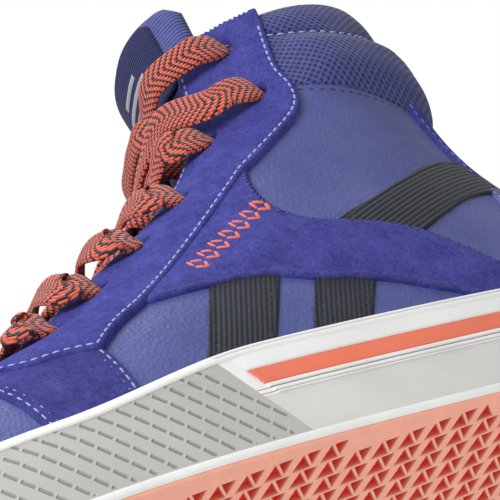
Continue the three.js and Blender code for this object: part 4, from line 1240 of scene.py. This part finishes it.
def lace():
    along = surface(*eyelet_at(0, LATERAL))[0]
    bar = [station(*across_throat(EYELETS[0][0], along, y), 3.4 + abs(y) * 0.2, 1)
           for y in (-19, -10, 0, 10, 19)]
    stations = np.array(half_lace(LATERAL, False)[::-1] + bar + half_lace(MEDIAL, True))
    keep = np.concatenate([[True], np.linalg.norm(np.diff(stations[:, :3], axis=0), axis=1) > 0.3])
    stations = stations[keep]
    fine = curve(stations, len(stations) * 6)
    centre, wanted, flat = fine[:, :3], unit(fine[:, 3:6]), np.clip(fine[:, 6], 0, 1)
    tangent = unit(np.gradient(centre, axis=0))
    reach = np.concatenate([[0], np.cumsum(np.linalg.norm(np.diff(centre, axis=0), axis=1))])
    sides = 16
    turn = np.arange(sides) * math.tau / sides
    profile = np.stack([np.sign(np.cos(turn)) * np.abs(np.cos(turn)) ** 0.75,
                        np.sign(np.sin(turn)) * np.abs(np.sin(turn)) ** 0.62], -1)
    side = None
    points, uv = [], []
    for k in range(len(fine)):
        new = np.cross(wanted[k], tangent[k])
        if side is None:
            side = new
        else:
            clear = new @ new
            new = -new if new @ side < 0 else new
            side = side * (1.02 - clear) + new
        side = unit(side - tangent[k] * (side @ tangent[k]))
        up = np.cross(tangent[k], side)
        w = mix(LACE["bunched_wide"], LACE["wide"], flat[k]) / 2
        t = mix(LACE["bunched_thick"], LACE["thick"], flat[k]) / 2
        points.append(centre[k] + profile[:, :1] * w * side + profile[:, 1:] * t * up)
        uv.append(np.stack([np.full(sides, reach[k]), profile[:, 0] * LACE["wide"] / 2], -1))
    made = add_mesh("lace_band", placed(np.vstack(points)), grid_faces(len(points), sides, True), LACE_WEAVE)
    set_uv(made, np.vstack(uv))
    last = (len(points) - 1) * sides
    end_faces(made, list(range(sides))[::-1], [last + j for j in range(sides)])
    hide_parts("lace")
    for name, end, before in (("lateral", centre[0], centre[3]), ("medial", centre[-1], centre[-4])):
        run = unit(end - before)
        lean = unit(np.cross(run, (0, 1, 0.3)))
        other = np.cross(run, lean)
        radii = [(-1.2, 0.4), (-1.0, 1.25), (0, 1.7), (3, 1.75), (3.3, 1.6), (3.6, 1.75), (14, 1.5), (15.6, 1.3),
                 (16.2, 0.7), (16.3, 0.2)]
        ring = [end + run * (s + 0.4) + (lean * np.cos(turn)[:, None] + other * np.sin(turn)[:, None]) * r
                for s, r in radii]
        tip = add_mesh(f"lace_tip_{name}", placed(np.vstack(ring)), grid_faces(len(ring), sides, True), TIP)
        last = (len(ring) - 1) * sides
        end_faces(tip, list(range(sides))[::-1], [last + j for j in range(sides)])
        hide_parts(f"aglet_{name}")
    return reach[-1]


# ---- The pull tab and the footbed ----
def pull_tab():
    against = [raised(ring, math.pi, padding(ring, math.pi) + 2.2)[0][[0, 2]] for ring in (7.95, 8.4, 8.9, 9.4, 9.85)]
    (low_x, low_z), (high_x, high_z) = against[0], against[-1]
    loop = against + [(high_x + 2.4, high_z + 4.6), (high_x + 6, high_z + 3.2), (high_x + 7.6, high_z - 3),
                      (low_x + 7, low_z + 9), (low_x + 3.2, low_z + 1.5)]
    loop = np.array(loop)
    line = curve(np.vstack([loop[-2:], loop, loop[:2]]), 140)
    first = np.argmin(np.linalg.norm(line - loop[0], axis=1))
    last = first + 10 + np.argmin(np.linalg.norm(line[first + 10:] - loop[0], axis=1))
    line = line[first:last]
    run = unit(np.roll(line, -1, 0) - np.roll(line, 1, 0))
    out = np.stack([run[:, 1], -run[:, 0]], -1)
    section = [(-9, -0.4), (-9, 0.4), (-8.6, 0.75), (-7.8, 0.62), (-7.2, 0.78), (0, 0.78), (7.2, 0.78), (7.8, 0.62),
               (8.6, 0.75), (9, 0.4), (9, -0.4), (8.6, -0.75), (0, -0.75), (-8.6, -0.75)]
    points = []
    for p, normal in zip(line, out):
        for y, d in section:
            points.append((p[0] + normal[0] * d, y, p[1] + normal[1] * d))
    faces = grid_faces(len(line), len(section), True)
    end = (len(line) - 1) * len(section)
    close = [(end + j, end + (j + 1) % len(section), (j + 1) % len(section), j) for j in range(len(section))]
    made = add_mesh("pull_loop", placed(points), np.vstack([faces, close]), STRAP)
    end_faces(made)
    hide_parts("heel_pull_tab")


def footbed():
    phis = np.arange(140) * math.tau / 140
    rows = []
    section = [(21.6, -7.0), (21.6, -6.4), (22.2, -5.9), (24.5, -5.8), (25.6, -6.0), (25.95, -6.6), (25.9, -8)]
    for height, d in section:
        row = own_wall(phis, 22.0, d)
        row[:, 2] = height + lift(row[:, 0])
        rows.append(row)
    rim = rows[-1]
    spine = rim * (1, 0, 1)
    spine[:, 0] = np.clip(spine[:, 0], -112, 122)
    spine[:, 2] = 25.9 + lift(spine[:, 0])
    for t in (0.2, 0.45, 0.7, 1.0):
        row = mix(rim, spine, t)
        row[:, 2] -= 1.1 * smooth(t * 2) * smooth((row[:, 0] + 60) / 160)
        rows.append(row)
    under = rows[0] * (1, 0, 1)
    under[:, 0] = np.clip(under[:, 0], -112, 122)
    under[:, 2] = 21.6 + lift(under[:, 0])
    rows.insert(0, under)
    made = add_mesh("footbed", placed(np.vstack(rows)), grid_faces(len(rows), len(phis), True), LINER, "sockliner")
    end_faces(made)
    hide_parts("sockliner")


def kept_nodes():
    """The stiffeners and boards inside stay as the model has them."""
    for name, material in (("midsole_foam", FOAM), ("insole_board", BOARD), ("collar_foam", FOAM),
                           ("heel_counter", BOARD), ("toe_puff", BOARD)):
        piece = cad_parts[name]
        piece.data.materials.clear()
        piece.data.materials.append(material)


cupsole()
stripe()
tread()
tongue()
lace_length = lace()
pull_tab()
footbed()
kept_nodes()


# ---- The camera, the light and the floor ----
def direction(azimuth, elevation):
    a, e = math.radians(azimuth), math.radians(elevation)
    return np.array([math.sin(a) * math.cos(e), -math.cos(a) * math.cos(e), math.sin(e)])


def look_from(azimuth, elevation, roll, distance, target):
    """A camera matrix that looks at the target."""
    back = direction(azimuth, elevation)
    right = unit(np.cross(-back, (0, 0, 1)))
    up = np.cross(right, -back)
    c, s = math.cos(math.radians(roll)), math.sin(math.radians(roll))
    place = target + back * distance
    axes = np.stack([c * right + s * up, -s * right + c * up, back], 1)
    matrix = np.eye(4)
    matrix[:3, :3] = axes
    matrix[:3, 3] = place
    return Matrix(matrix.tolist()), axes


def area_light(name, place, target, size, power, colour=(1, 1, 1)):
    data = bpy.data.lights.new(name, "AREA")
    data.shape, data.size, data.energy, data.color = "DISK", size, power, colour
    made = bpy.data.objects.new(name, data)
    bpy.context.scene.collection.objects.link(made)
    made.location = place
    made.rotation_euler = (Vector(target) - Vector(place)).to_track_quat("-Z", "Y").to_euler()


def stage_and_camera():
    scene = bpy.context.scene
    target = placed([(28.8, -41.1, 75.4)])[0]
    matrix, axes = look_from(-37.5, -35.7, -41.2, 0.7293, target)
    data = bpy.data.cameras.new("camera")
    data.sensor_width, data.lens = 36, 189.4
    data.clip_start, data.clip_end = 0.01, 50
    camera = bpy.data.objects.new("camera", data)
    scene.collection.objects.link(camera)
    camera.matrix_world = matrix
    scene.camera = camera
    right, up, back = axes.T
    area_light("key", target + 0.4 * up + 0.6 * back - 0.6 * right, target, 0.6, 7.5)
    area_light("top", (0.0, -0.3, 1.2), target, 1.0, 6)
    area_light("low", target + 0.6 * back - 0.5 * up + 0.5 * right, target, 0.8, 3.6)
    world = bpy.data.worlds.new("studio")
    scene.world = world
    world.use_nodes = True
    tree = world.node_tree
    seen = tree.nodes["Background"]
    seen.inputs[0].default_value = (1, 1, 1, 1)
    lit = node(tree, "ShaderNodeBackground", {"Color": (1, 1, 1, 1), "Strength": 0.42})
    path = node(tree, "ShaderNodeLightPath")
    chosen = node(tree, "ShaderNodeMixShader", {0: path.outputs["Is Camera Ray"], 1: lit.outputs[0],
                                                2: seen.outputs[0]})
    tree.links.new(chosen.outputs[0], tree.nodes["World Output"].inputs[0])
    scene.view_settings.view_transform = "Standard"
    # A pale floor, seen only from above: it lets the view and the light from below through to the tread.
    bpy.ops.mesh.primitive_circle_add(vertices=96, radius=6, fill_type="NGON", location=(0, 0, -0.0004))
    floor = bpy.context.object
    floor.name = "floor"
    material, tree, shader = nodes_of("floor", (0.86, 0.86, 0.86), 0.9, Specular_IOR_Level=0.1)
    clear = node(tree, "ShaderNodeBsdfTransparent")
    path, face = node(tree, "ShaderNodeLightPath"), node(tree, "ShaderNodeNewGeometry")
    shown = sums(tree, "MULTIPLY", path.outputs["Is Camera Ray"], sums(tree, "SUBTRACT", 1.0,
                                                                         face.outputs["Backfacing"]))
    both = node(tree, "ShaderNodeMixShader", {0: shown, 1: clear.outputs[0], 2: shader.outputs[0]})
    tree.links.new(both.outputs[0], tree.nodes["Material Output"].inputs[0])
    floor.data.materials.append(material)


stage_and_camera()
